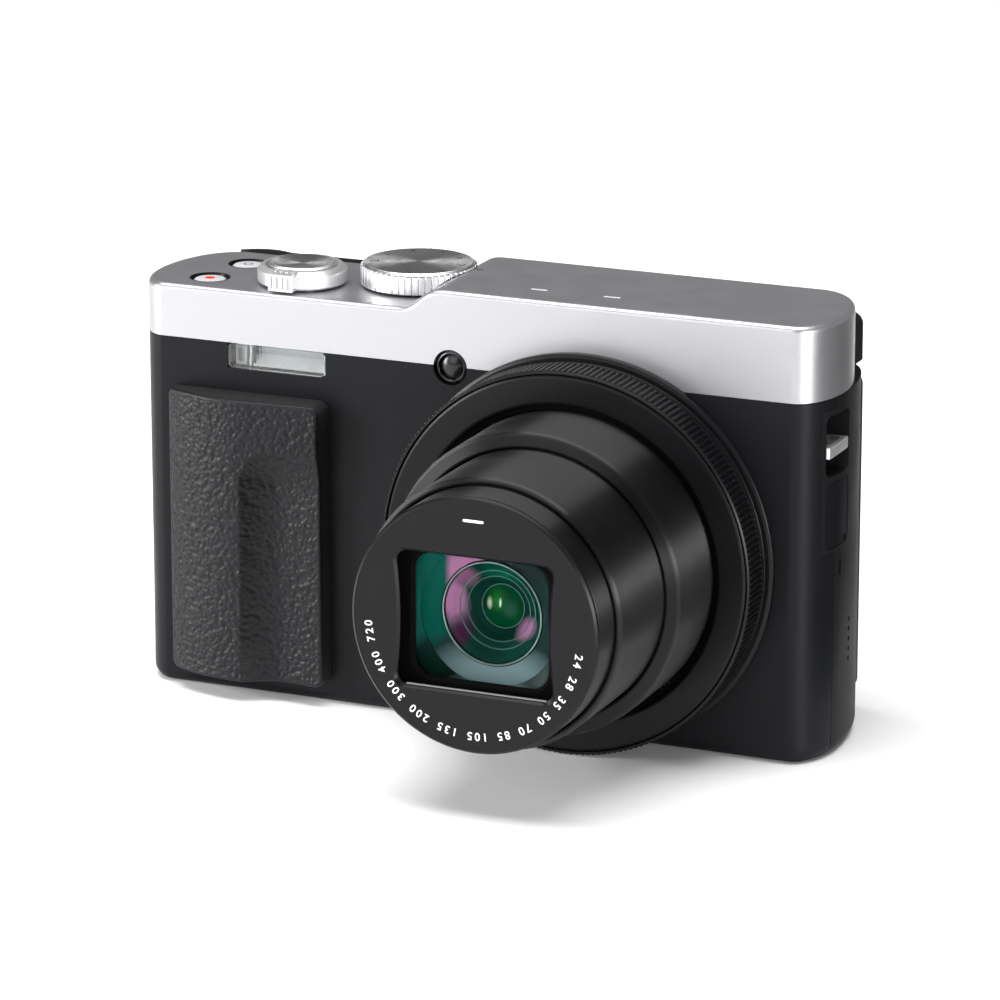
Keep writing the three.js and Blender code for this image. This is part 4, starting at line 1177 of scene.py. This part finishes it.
# ---- flash and focus lamp -------------------------------------------------------------------
def flash():
    ribs, rib_depth = 26, 0.045
    x0, x1 = FLASH.x0, FLASH.x1
    ribbed_from = x0 + 3.6
    outline = [(x0, FLASH.y1), (x0, FLASH.y0), (x1, FLASH.y0), (x1, FLASH.y1 - 0.3)]
    steps = ribs * 6
    for k in range(steps + 1):
        t = k / steps
        depth = rib_depth * (1 - abs(math.sin(math.pi * ribs * t)))
        outline.append((x1 + (ribbed_from - x1) * t, FLASH.y1 - 0.3 + depth))
    outline.append((ribbed_from - 0.1, FLASH.y1))
    glass = plate("flash_glass", "z", outline, FLASH.z0, FLASH.z1, WINDOW)
    frame_outline = rounded_rect(x0, x1, FLASH.z0, FLASH.z1, 0.75, 6)
    keep_inside(glass, cutter("y", frame_outline, FLASH.y0 - 1, FLASH.y1 + 1))
    soften(glass, 0.18)
    fit(glass, BODY, "clear_window", "flash_window")

    low, high = FLASH.z0 + 0.25, FLASH.z1 + 0.9
    mouth_y, back_y = FLASH.y1 + 0.25, -7.2
    section = [(mouth_y, low), (mouth_y + 0.9, low + 0.35), (-10.3, 52.9), (-9.3, 53.4), (-8.6, 54.2),
               (-9.3, 55.1), (-10.3, 55.6), (mouth_y, high), (back_y, high), (back_y, low)]
    trough = plate("flash_reflector", "x", section, x0 + 3.5, x1 - 0.7, REFLECTOR)
    fit(trough, BODY, "reflector", "flash_unit", angle=50)
    tube_centre = (-9.95, 54.15)
    tube = spun("flash_tube", "x", tube_centre, [
        (0, x0 + 2.7), (0.55, x0 + 2.7, 0.1), (0.75, x0 + 3.6, 0.2), (0.75, x1 - 0.9, 0.2), (0, x1 - 0.9),
    ], WINDOW, 40)
    fit(tube, BODY, "reflector")
    holder = plate("flash_holder", "x", [
        (mouth_y - 0.1, 51.9), (-8, 51.9), (-8, 56.2), (-11.2, 56.2), (-11.2, 55.1), (mouth_y - 0.1, 54.9),
    ], x0 + 0.7, x0 + 2.6, GREY_PLASTIC)
    cut(holder, block(x0 + 1.1, x0 + 1.9, -14, mouth_y + 0.8, 52.5, 54.3))
    soften(holder, 0.12)
    fit(holder, BODY, "reflector")
    foot, shoulder, tip = 51.8, 53.2, 54.9
    post = spun("flash_electrode", "z", (x0 + 3.05, mouth_y + 0.35), [
        (0, foot), (0.3, foot, 0.05), (0.3, shoulder, 0.05), (0.2, shoulder + 0.1, 0.05),
        (0.2, tip, 0.05), (0, tip),
    ], STEEL, 24)
    fit(post, BODY, "reflector")


def focus_lamp():
    centre = (LAMP.cx, LAMP.cz)
    ring = spun("lamp_ring", "y", centre, [
        (1.95, LAMP.y0 + 0.6), (1.98, LAMP.y0 + 0.12, 0.05), (2.12, LAMP.y0, 0.06),
        (2.32, LAMP.y0 + 0.1, 0.06), (2.6, LAMP.y0 + 0.25), (2.6, LAMP.y1), (1.95, LAMP.y1),
    ], DARK_CHROME, 96)
    fit(ring, BODY, "smoked_window", "af_lamp")
    lens_back = LAMP.y0 + 1.6
    lens = spun("lamp_lens", "y", centre, [
        *dome(LAMP.y0 + 0.05, 0.55, 1.94, 8), (1.94, lens_back), (0, lens_back),
    ], SMOKED, 72)
    fit(lens, BODY, "smoked_window")
    emitter = spun("lamp_emitter", "y", (LAMP.cx - 0.15, LAMP.cz + 0.1), [
        (0, LAMP.y0 + 1.65), (1.2, LAMP.y0 + 1.65, 0.1), (1.2, LAMP.y0 + 2.6), (0, LAMP.y0 + 2.6),
    ], GREY_PLASTIC, 48)
    fit(emitter, BODY, "smoked_window")


# ---- right side -----------------------------------------------------------------------------
def curve_points(start, control, end):
    """Points along a curve that leaves start and reaches end in the control point's direction."""
    points, steps = [], 14
    for k in range(steps + 1):
        t = k / steps
        points.append(tuple((1 - t) ** 2 * a + 2 * t * (1 - t) * b + t ** 2 * c
                            for a, b, c in zip(start, control, end)))
    return points


def strap_lug():
    """A flat bar across the recess, flush with the body's side, on two legs."""
    y0, y1 = LUG.y0 + 0.6, LUG.y1 + 0.15
    middle = (y0 + y1) / 2
    outline = [(55.2, y0 + 0.15), (55.3, y0 - 0.5)]
    outline += curve_points((55.95, y0 - 0.42), (LUG.x1 + 0.08, middle), (LUG.x1 - 0.1, LUG.y1))
    outline += [(52.4, LUG.y1), (52.4, y1 - 0.85)]
    outline += curve_points((54.9, y1 - 0.85), (55.1, middle), (54.9, y0 + 0.85))
    outline += [(52.4, y0 + 0.85), (52.4, y0 + 0.15)]
    lug = plate("strap_bar", "z", outline, LUG.z0, LUG.z1, SATIN_METAL)
    soften(lug, 0.2, 50, 4)
    return fit(lug, BODY, "chrome_lug", "strap_lug", angle=50)


def terminal_door():
    skin = plate("door_skin", "z", plan_outline(0.05), 0, 60, BODY_BLACK)
    cut(skin, cutter("z", plan_outline(1.25), -1, 61))
    gate = rounded_rect(DOOR.y0, DOOR.y1, DOOR.z0, DOOR.z1, 1.1)
    keep_inside(skin, cutter("x", gate, 50, 60))
    cut(skin, rod("z", (56.9, DOOR.y1 - 0.9), 1.2, DOOR.z0 - 1, DOOR.z0 + 1.1, 32))
    soften(skin, 0.14)
    return fit(skin, "terminal_door", "body_black", "terminal_door")


def socket(name, node, tongue_color):
    """A metal shell with a tongue carrying a row of contacts."""
    place = Box(node)
    outline = rounded_rect(place.y0, place.y1, place.z0, place.z1, (place.y1 - place.y0) * 0.3)
    can = plate(name, "x", outline, place.x0, place.x1, STEEL)
    cut(can, cutter("x", inset(outline, 0.3), place.x0 + 0.5, place.x1 + 1))
    soften(can, 0.06)
    fit(can, BODY, "plated_steel", node)
    middle = place.cy
    tongue = plate(name + "_tongue", "x", rounded_rect(middle - 0.32, middle + 0.32, place.z0 + 1.2,
                   place.z1 - 1.2, 0.2), place.x0 + 0.4, place.x1 - 0.7, tongue_color, high_round=0.15)
    fit(tongue, BODY, "inner_plastic")
    pins = []
    count = 8
    for k in range(count):
        z = place.z0 + 1.7 + (place.z1 - place.z0 - 3.4) * k / (count - 1)
        pins.append(plate("pin", "y", rounded_rect(place.x1 - 3.6, place.x1 - 1, z - 0.14, z + 0.14, 0.08),
                          middle - 0.36, middle - 0.28, GOLD))
    attach(merged(name + "_contacts", pins), BODY)


# ---- top controls ---------------------------------------------------------------------------
def ribbed_wall(count, radius, depth, low, high, width):
    """A wave for spun(): narrow grooves down an upright wall, between two heights."""

    def wave(angle, r, along):
        if r < radius - 0.05 or not low < along < high:
            return r
        phase = (angle * count / (2 * math.pi)) % 1
        return r - depth * (1 - smoothstep(0, width, phase) * smoothstep(1, 1 - width, phase))

    return wave


def mode_dial():
    ribs, per_rib = 54, 12
    radius, top = DIAL.rx, DIAL.z1
    wave = ribbed_wall(ribs, radius, 0.34, 64.05, top - 0.42, 0.14)
    knob = spun("ribbed_dial", "z", (DIAL.cx, DIAL.cy), [
        (0, DIAL.z0), (2, DIAL.z0), (2, 64), (radius - 0.35, 64, 0.1), (radius, 64.2),
        (radius, top - 0.5), (radius - 0.36, top - 0.34, 0.05), (radius - 0.62, top, 0.12), (0, top - 0.02),
    ], SPUN, ribs * per_rib, wave)
    fit(knob, "mode_dial", "silver_metal", "mode_dial", angle=38)
    ticks = arc_text("dial_figures", "1 2 3 4 5 6 7 8 9", "z", (DIAL.cx, DIAL.cy), 6.7, 8, 2.0, 20,
                     top - 0.009, DARK_MARK)
    attach(ticks, "mode_dial")
    index = plate("dial_index", "z", rounded_rect(-5.0, -3.9, DIAL.cy - 0.2, DIAL.cy + 0.2, 0.19, 4),
                  TOP.z1 - 0.1, TOP.z1 + 0.006, DARK_MARK)
    attach(index, BODY)


def zoom_lever():
    cx, cy, radius, top = SHUTTER.cx, SHUTTER.cy, 6.85, 66.8
    ring = spun("lever_ring", "z", (cx, cy), [
        (2.7, 61.7), (3.6, 61.7), (3.6, 64.05), (radius - 0.25, 64.05, 0.1), (radius, 64.35, 0.1),
        (radius, 66.15, 0.2), (radius - 0.75, top, 0.2), (5.6, top, 0.08), (5.5, top - 0.2),
        (5.5, 65), (2.7, 65),
    ], SATIN_METAL, 144)
    tab = plate("tab", "x", [
        (cy - 5.7, 64.1), (cy - 8, 64.1), (cy - 8, 66.1), (cy - 7.7, 66.55), (cy - 6.6, 66.86),
        (cy - 5.7, 67.05),
    ], cx - 2.05, cx + 2.05, SATIN_METAL, 0.15, 0.15)
    cut_grooves(tab, 4, cx - 1.38, 0.92, 0.17, (cy - 9, cy - 7.72, 64.5, 70), (cy - 9, cy - 6, 66.62, 70))
    join(ring, tab)
    soften(ring, 0.09, 45)
    return fit(ring, "zoom_lever", "silver_metal", "zoom_lever", angle=40)


def shutter_button():
    top = SHUTTER.z1
    button = spun("shutter_cap", "z", (SHUTTER.cx, SHUTTER.cy), [
        (0, SHUTTER.z0), (2.3, SHUTTER.z0), (2.3, 66.15), (4.9, 66.15, 0.05), (5.05, 66.35, 0.1),
        (5.02, top - 0.2, 0.1), (4.75, top, 0.1), (4.3, top - 0.06, 0.2), (2.4, top - 0.2, 0.8),
        (0, top - 0.3),
    ], SPUN, 144)
    return fit(button, "shutter_button", "silver_metal", "shutter_button", angle=40)


def deck_button(name, node):
    place = Box(node)
    top = place.z1
    button = spun(name, "z", (place.cx, place.cy), [
        (0, place.z0), (2.5, place.z0), (2.5, top - 0.35, 0.15), (2.25, top - 0.12, 0.2),
        (1.2, top - 0.02, 0.5), (0, top),
    ], CAP_SILVER, 96)
    return fit(button, node, "silver_metal", node, angle=40)


def top_controls():
    mode_dial()
    zoom_lever()
    shutter_button()
    deck_button("movie_cap", "movie_button")
    deck_button("power_cap", "power_button")
    movie, power = Box("movie_button"), Box("power_button")
    low, high = movie.z1 - 0.4, movie.z1 - 0.005
    dot = spun("movie_dot", "z", (movie.cx, movie.cy), [
        (0, low), (0.8, low), (0.8, high, 0.02), (0, movie.z1 + 0.015),
    ], RED_MARK, 40)
    fit(dot, "movie_button", "silver_metal")
    low, high = power.z1 - 0.4, power.z1 + 0.005
    ring = spun("power_mark", "z", (power.cx, power.cy), [
        (0.55, low), (0.75, low), (0.75, high, 0.01), (0.55, high, 0.01),
    ], DARK_MARK, 48)
    fit(ring, "power_button", "silver_metal")
    for k, x in enumerate(MICROPHONE_X):
        name, outline = f"microphone_mesh_{k + 1}", rounded_rect(x - 1.37, x + 1.37, -7.82, -7.18, 0.31, 4)
        insert = plate(name, "z", outline, TOP.z1 - 0.9, TOP.z1 - 0.06, MESH, 0, 0.08)
        fit(insert, BODY, "silver_metal")
    for node in DECK_BUTTONS:
        place = Box(node)
        liner = spun(node + "_surround", "z", (place.cx, place.cy), [
            (2.66, DECK_Z - 0.72), (3.14, DECK_Z - 0.72), (3.14, DECK_Z + 0.03, 0.05),
            (3.0, DECK_Z + 0.05, 0.05), (2.66, DECK_Z - 0.6),
        ], RING_BLACK, 96)
        fit(liner, BODY, "silver_metal")


# ---- back -----------------------------------------------------------------------------------
def monitor():
    arms = ((-17.2, -12.8), (39.8, 44.2))
    hinge_y, hinge_z = 16.3, 54.4
    x0, x1, z0 = MONITOR.x0, MONITOR.x1, MONITOR.z0
    z1, back = 53.2, 16.4    # upper edge of the tray, and its face towards the user
    outline = rounded_rect(x0, x1, z0, z1, 2, 10)
    tray = plate("monitor_case", "y", outline, MONITOR.y0, back, PANEL_BLACK, 0.6, 0.4, 5)
    cut(tray, cutter("y", rounded_rect(x0 + 1, x1 - 1, z0 + 1, z1 - 1, 1.3), 14, 30))
    for a, b in arms:
        join(tray, block(a, b, hinge_y - 1, hinge_y + 0.1, z1 - 1.6, hinge_z),
             rod("x", (hinge_y, hinge_z), 1.05, a, b, 40))
        cut(tray, rod("x", (hinge_y, hinge_z), 0.65, a - 1, b + 1, 32))
    cut(tray, block(x0 + 1.05, x1 - 1.05, back - 0.55, 30, z0 + 1.05, z1 - 1.05))
    cut_grooves(tray, 5, x0 + 14, 12, 0.25, (MONITOR.y0 - 1, MONITOR.y0 + 0.15, z0 + 8, z1 - 8))
    soften(tray, 0.1)
    fit(tray, "monitor", "body_black", "monitor_housing")
    cover = plate("monitor_glass", "y", rounded_rect(x0 + 1.1, x1 - 1.1, z0 + 1.1, z1 - 1.1, 1.2, 8),
                  SCREEN.y1 - 0.85, SCREEN.y1, SCREEN_GLASS, 0, 0.25)
    fit(cover, "monitor", "screen_glass", "monitor_screen")
    border = plate("monitor_panel", "y", rounded_rect(x0 + 3, x1 - 3, z0 + 3, z1 - 3, 0.6),
                   14.1, SCREEN.y1 - 0.9, DISPLAY)
    fit(border, "monitor", "screen_glass")
    pieces = []
    for a, b in arms:
        for p, q in ((a - 2, a - 0.15), (b + 0.15, b + 2)):
            ear = rod("x", (hinge_y, hinge_z), 1.05, p, q, 40)
            join(ear, block(p, q, hinge_y - 2.4, hinge_y - 0.05, hinge_z - 0.5, hinge_z + 0.7))
            pieces.append(ear)
    pieces.append(rod("x", (hinge_y, hinge_z), 0.5, arms[0][0] - 1, arms[1][1] + 1, 32))
    hinge = merged("monitor_hinge_pin", pieces)
    hinge.data.materials.clear()
    hinge.data.materials.append(STEEL)
    soften(hinge, 0.08)
    fit(hinge, BODY, "plated_steel", "monitor_hinge")


def rear_controls():
    centre = (REAR_DIAL.cx, REAR_DIAL.cz)
    teeth = 44
    foot, top = 16.92, REAR_DIAL.y1
    wave = ribbed_wall(teeth, REAR_DIAL.rx, 0.3, foot + 0.05, top - 0.3, 0.3)
    wheel = spun("control_wheel", "y", centre, [
        (5.3, REAR_DIAL.y0), (6, REAR_DIAL.y0), (6, foot), (REAR_DIAL.rx - 0.1, foot, 0.05),
        (REAR_DIAL.rx, foot + 0.15), (REAR_DIAL.rx, top - 0.35), (REAR_DIAL.rx - 0.45, top, 0.2),
        (7.6, top - 0.2, 0.6), (5.8, top - 0.25, 0.2), (5.3, top - 0.55, 0.1),
    ], RING_BLACK, teeth * 8, wave)
    fit(wheel, "rear_dial", "ring_black", "rear_dial")
    marks = []
    for k in range(4):
        turn = math.radians(90 * k)
        u, v = centre[0] + 7.7 * math.cos(turn), centre[1] + 7.7 * math.sin(turn)
        half_u, half_v = (0.16, 0.5) if k % 2 == 0 else (0.5, 0.16)
        dash = rounded_rect(u - half_u, u + half_u, v - half_v, v + half_v, 0.15, 4)
        marks.append(plate("mark", "y", dash, top - 0.4, top - 0.17, PAINT_MARK))
    attach(merged("wheel_marks", marks), "rear_dial")
    button = spun("set_cap", "y", (SET.cx, SET.cz), [
        (0, SET.y0), (5.1, SET.y0), (5.1, SET.y1 - 0.3, 0.1), (4.75, SET.y1, 0.15), (4.3, SET.y1 - 0.05, 0.2),
        (0, SET.y1 - 0.3),
    ], RING_BLACK, 96)
    fit(button, "set_button", "ring_black", "set_button")
    for node in BACK_BUTTONS:
        place = Box(node)
        cap = spun(node + "_cap", "y", (place.cx, place.cz), [
            (0, place.y0), (2.5, place.y0), (2.5, place.y1 - 0.25, 0.1), (2.25, place.y1, 0.12),
            (1.7, place.y1 - 0.08, 0.3), (0, place.y1 - 0.14),
        ], RING_BLACK, 72)
        fit(cap, node, "ring_black", node)
    playback = Box("playback_button")
    x, z, y = playback.cx, playback.cz, playback.y1
    arrow = plate("playback_mark", "y", [(x + 0.6, z + 0.8), (x - 0.8, z), (x + 0.6, z - 0.8)],
                  y - 0.3, y - 0.09, PAINT_MARK)
    attach(arrow, "playback_button")


# ---- base -----------------------------------------------------------------------------------
def base_parts():
    door = Box("battery_door")
    outline = rounded_rect(door.x0, door.x1, door.y0, door.y1, 1.5, 8)
    panel = plate("battery_door_panel", "z", outline, door.z0, door.z1, PANEL_BLACK, 0.15, 0, 3)
    cut(panel, cutter("z", rounded_rect(-39, -31, -9.9, -7.1, 1.1), -1, 0.8))
    cut_grooves(panel, 7, door.x0 + 20.5, 0.9, 0.18, (1.6, 4.4, -1, door.z0 + 0.22))
    soften(panel, 0.08)
    fit(panel, "battery_door", "body_black", "battery_door")
    latch = Box("battery_door_latch")
    slider = plate("latch_slider", "z", rounded_rect(latch.x0, latch.x1, latch.y0, latch.y1, 1, 8),
                   latch.z0, latch.z1, RING_BLACK, 0.1, 0)
    cut_grooves(slider, 4, latch.x0 + 1.2, 0.8, 0.15, (latch.y0 + 0.6, latch.y1 - 0.6, -1, latch.z0 + 0.15))
    soften(slider, 0.04)
    fit(slider, "battery_door_latch", "ring_black", "battery_door_latch")

    mount = Box("tripod_socket")
    crest, root = 3.175, 3.525
    outer, low, bottom, top = 4.55, 0.15, 5.8, 6.4
    turns, thread_low, thread_high = 7, 0.4, 5.6
    pitch = (thread_high - thread_low) / turns
    thread = []
    for k in range(turns):
        z = thread_high - pitch * k
        thread += [(root, z), (crest, z - pitch / 2, 0.05)]
    nut = spun("tripod_nut", "z", (mount.cx, mount.cy), [
        (0, top), (0, bottom), (root, bottom), *thread, (root, low), (outer, low, 0.1), (outer, 5.2),
        (3.9, top), (0, top),
    ], STEEL, 72)
    fit(nut, BODY, "plated_steel", "tripod_socket")
    for node in BASE_SCREWS:
        place = Box(node)
        cx, cy, low = place.cx, place.cy, place.z0
        screw = spun(node + "_head", "z", (cx, cy), [
            (0, low), (1.35, low, 0.1), (1.6, low + 0.25, 0.1), (1.6, low + 0.55), (0.8, low + 0.55),
            (0.8, place.z1), (0, place.z1),
        ], STEEL, 48)
        for turn in (45, 135):
            blade = cutter("z", rounded_rect(-0.85, 0.85, -0.16, 0.16, 0.08, 3), low - 1, low + 0.4)
            spin = Matrix.Rotation(math.radians(turn), 4, "Z")
            blade.data.transform(Matrix.Translation((cx * MM, cy * MM, 0)) @ spin)
            cut(screw, blade)
        soften(screw, 0.03)
        fit(screw, BODY, "plated_steel", node)


def coil(name, centre, radius, wire, low, high, turns):
    """A small wound spring standing along Z."""
    path_steps, around = 24 * turns, 8
    loops = []
    for i in range(path_steps + 1):
        t = i / path_steps
        angle = 2 * math.pi * turns * t
        loop = []
        for k in range(around):
            a = 2 * math.pi * k / around
            r = radius + wire * math.cos(a)
            loop.append((centre[0] + r * math.cos(angle), centre[1] + r * math.sin(angle),
                         low + wire + (high - low - 2 * wire) * t + wire * math.sin(a)))
        loops.append(loop)
    return mesh_piece(name, *bridge(loops), STEEL)


def power_parts():
    """Battery and card, whose lower ends show when the door is open."""
    place = Box("battery")
    outline = rounded_rect(place.x0, place.x1, place.y0, place.y1, 2, 8)
    pack = plate("battery_pack", "z", outline, place.z0, place.z1, BATTERY, 0.5, 0.4)
    cut(pack, *[block(x - 1, x + 1, place.y0 + 2.5, place.y1 - 2.5, place.z1 - 0.5, place.z1 + 2)
                for x in (place.x0 + 6, place.x0 + 10, place.x0 + 14)],
        block(place.cx - 5, place.cx + 5, place.y0 - 1, place.y0 + 0.4, place.z0 + 8, place.z0 + 22))
    soften(pack, 0.08)
    fit(pack, BODY, "battery_case", "battery")
    arrow = plate("battery_arrow", "z", [(place.cx - 1.6, place.cy - 1), (place.cx + 1.6, place.cy - 1),
                  (place.cx, place.cy + 1.8)], place.z0 - 0.02, place.z0 + 0.3, PAINT_MARK)
    attach(arrow, BODY)
    card = Box("memory_card")
    corner = 2.8
    body = plate("card_body", "y", [
        (card.x0, card.z0), (card.x1, card.z0), (card.x1, card.z1), (card.x0 + corner, card.z1),
        (card.x0, card.z1 - corner),
    ], card.y0, card.y1, CARD, 0.12, 0.12)
    cut(body, *[block(card.x0 + 2 + 2.6 * k, card.x0 + 3.6 + 2.6 * k, card.y0 - 1, card.y0 + 0.25,
                      card.z1 - 7, card.z1 - 1) for k in range(8)],
        block(card.x0 - 1, card.x0 + 0.7, card.y0 - 1, card.y1 + 1, card.z0 + 9, card.z0 + 12),
        block(card.cx - 6, card.cx + 6, card.y1 - 0.2, card.y1 + 1, card.z0 + 1, card.z0 + 2))
    soften(body, 0.06)
    fit(body, BODY, "card_plastic", "memory_card")
    for x in (place.x0 + 3, place.x1 - 3):
        attach(coil("door_spring", (x, place.cy), 0.9, 0.16, 1.9, 3.05, 3), BODY)


# ---- inner works ----------------------------------------------------------------------------
def dress(material, *nodes):
    """A CAD node keeps its shape and takes a material."""
    for node in nodes:
        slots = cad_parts[node].data.materials
        slots.clear()
        slots.append(material)


def inner_works():
    dress(BOARD, "main_board", "top_switch_board", "rear_button_board", "sensor_module")
    dress(STEEL, "chassis_plate", "sensor_plate", "cam_ring", "zoom_motor")
    dress(DEEP_BLACK, "battery_compartment", "speaker")
    dress(DARK_GLASS, "zoom_lens_group", "rear_lens_group")
    dress(CAPACITOR, "flash_capacitor")
    socket("usb_shell", "usb_socket", DEEP_BLACK)
    socket("hdmi_shell", "hdmi_socket", DEEP_BLACK)


# ---- scene ----------------------------------------------------------------------------------
def area_light(name, size, energy, place, target):
    lamp = bpy.data.lights.new(name, "AREA")
    lamp.shape = "RECTANGLE"
    lamp.size, lamp.size_y = size
    lamp.energy = energy
    holder = bpy.data.objects.new(name, lamp)
    bpy.context.scene.collection.objects.link(holder)
    holder.location = place
    aim = Vector(target) - Vector(place)
    holder.rotation_euler = aim.to_track_quat("-Z", "Y").to_euler()


def studio():
    """A grey sky, a softbox at the front left, a strip at each side and a wide softbox above."""
    bpy.context.scene.view_settings.view_transform = "Standard"
    world = bpy.data.worlds.new("studio")
    bpy.context.scene.world = world
    world.use_nodes = True
    tree = world.node_tree
    background = tree.nodes["Background"]
    place = tree.nodes.new("ShaderNodeTexCoord")
    split = tree.nodes.new("ShaderNodeSeparateXYZ")
    tree.links.new(place.outputs["Generated"], split.inputs["Vector"])
    shade = tree.nodes.new("ShaderNodeValToRGB")
    steps = ((0.0, 0.30), (0.16, 0.14), (0.7, 0.07))
    shade.color_ramp.elements.new(steps[1][0])
    for element, (position, value) in zip(shade.color_ramp.elements, steps):
        element.position = position
        element.color = (value, value, value * 1.02, 1)
    tree.links.new(split.outputs["Z"], shade.inputs["Fac"])
    tree.links.new(shade.outputs["Color"], background.inputs["Color"])
    background.inputs["Strength"].default_value = 1.0
    area_light("front_softbox", (0.9, 0.7), 5, (-0.35, -1.3, 0.55), (0, 0, 0.03))
    area_light("left_strip", (0.3, 0.6), 15, (-0.95, -0.62, 0.3), (-0.03, 0, 0.03))
    area_light("right_strip", (0.5, 0.26), 13, (1.1, -0.6, 0.13), (0.02, 0, 0.03))
    area_light("top_softbox", (1.3, 0.8), 26, (0.0, -0.15, 1.25), (0, 0, 0.03))


def dark_card():
    """A black card beside the camera that only reflections see: it shades the right-hand end."""
    card = plate("dark_card", "z", rounded_rect(72, 1500, -35, 1500, 60, 6), -0.01, 0.4, DEEP_BLACK)
    card.visible_camera = False
    card.visible_diffuse = False
    card.visible_shadow = False
    card.visible_transmission = False


def floor():
    sheet = Shader("studio_floor", (0.95, 0.95, 0.96), 0.6)
    sheet.vary_color(sheet.grain(8, 3), (0.945, 0.945, 0.95), (0.955, 0.955, 0.96))
    half = 3000
    outline = rounded_rect(-half, half, -half, half, 400, 12)
    plate("studio_floor", "z", outline, -20, -0.02, sheet.material)


def camera():
    """The front seen from the +X side and a little above, through a long lens."""
    target = Vector((5.05, FRONT_Y, 35.69)) * MM
    azimuth, elevation, distance = math.radians(23.26), math.radians(16.10), 0.8165
    back = Vector((
        math.sin(azimuth) * math.cos(elevation),
        -math.cos(azimuth) * math.cos(elevation),
        math.sin(elevation),
    ))
    lens = bpy.data.cameras.new("camera")
    lens.sensor_width = 36
    lens.lens = 196.35
    lens.clip_start = 0.05
    holder = bpy.data.objects.new("camera", lens)
    bpy.context.scene.collection.objects.link(holder)
    holder.location = target + back * distance
    holder.rotation_euler = (-back).to_track_quat("-Z", "Y").to_euler()
    bpy.context.scene.camera = holder


studio()
floor()
dark_card()
camera()
front_shell()
rear_shell()
top_shell()
front_grip()
thumb_rest()
build_lens()
front_optics()
barrier()
flash()
focus_lamp()
strap_lug()
terminal_door()
top_controls()
monitor()
rear_controls()
base_parts()
power_parts()
inner_works()
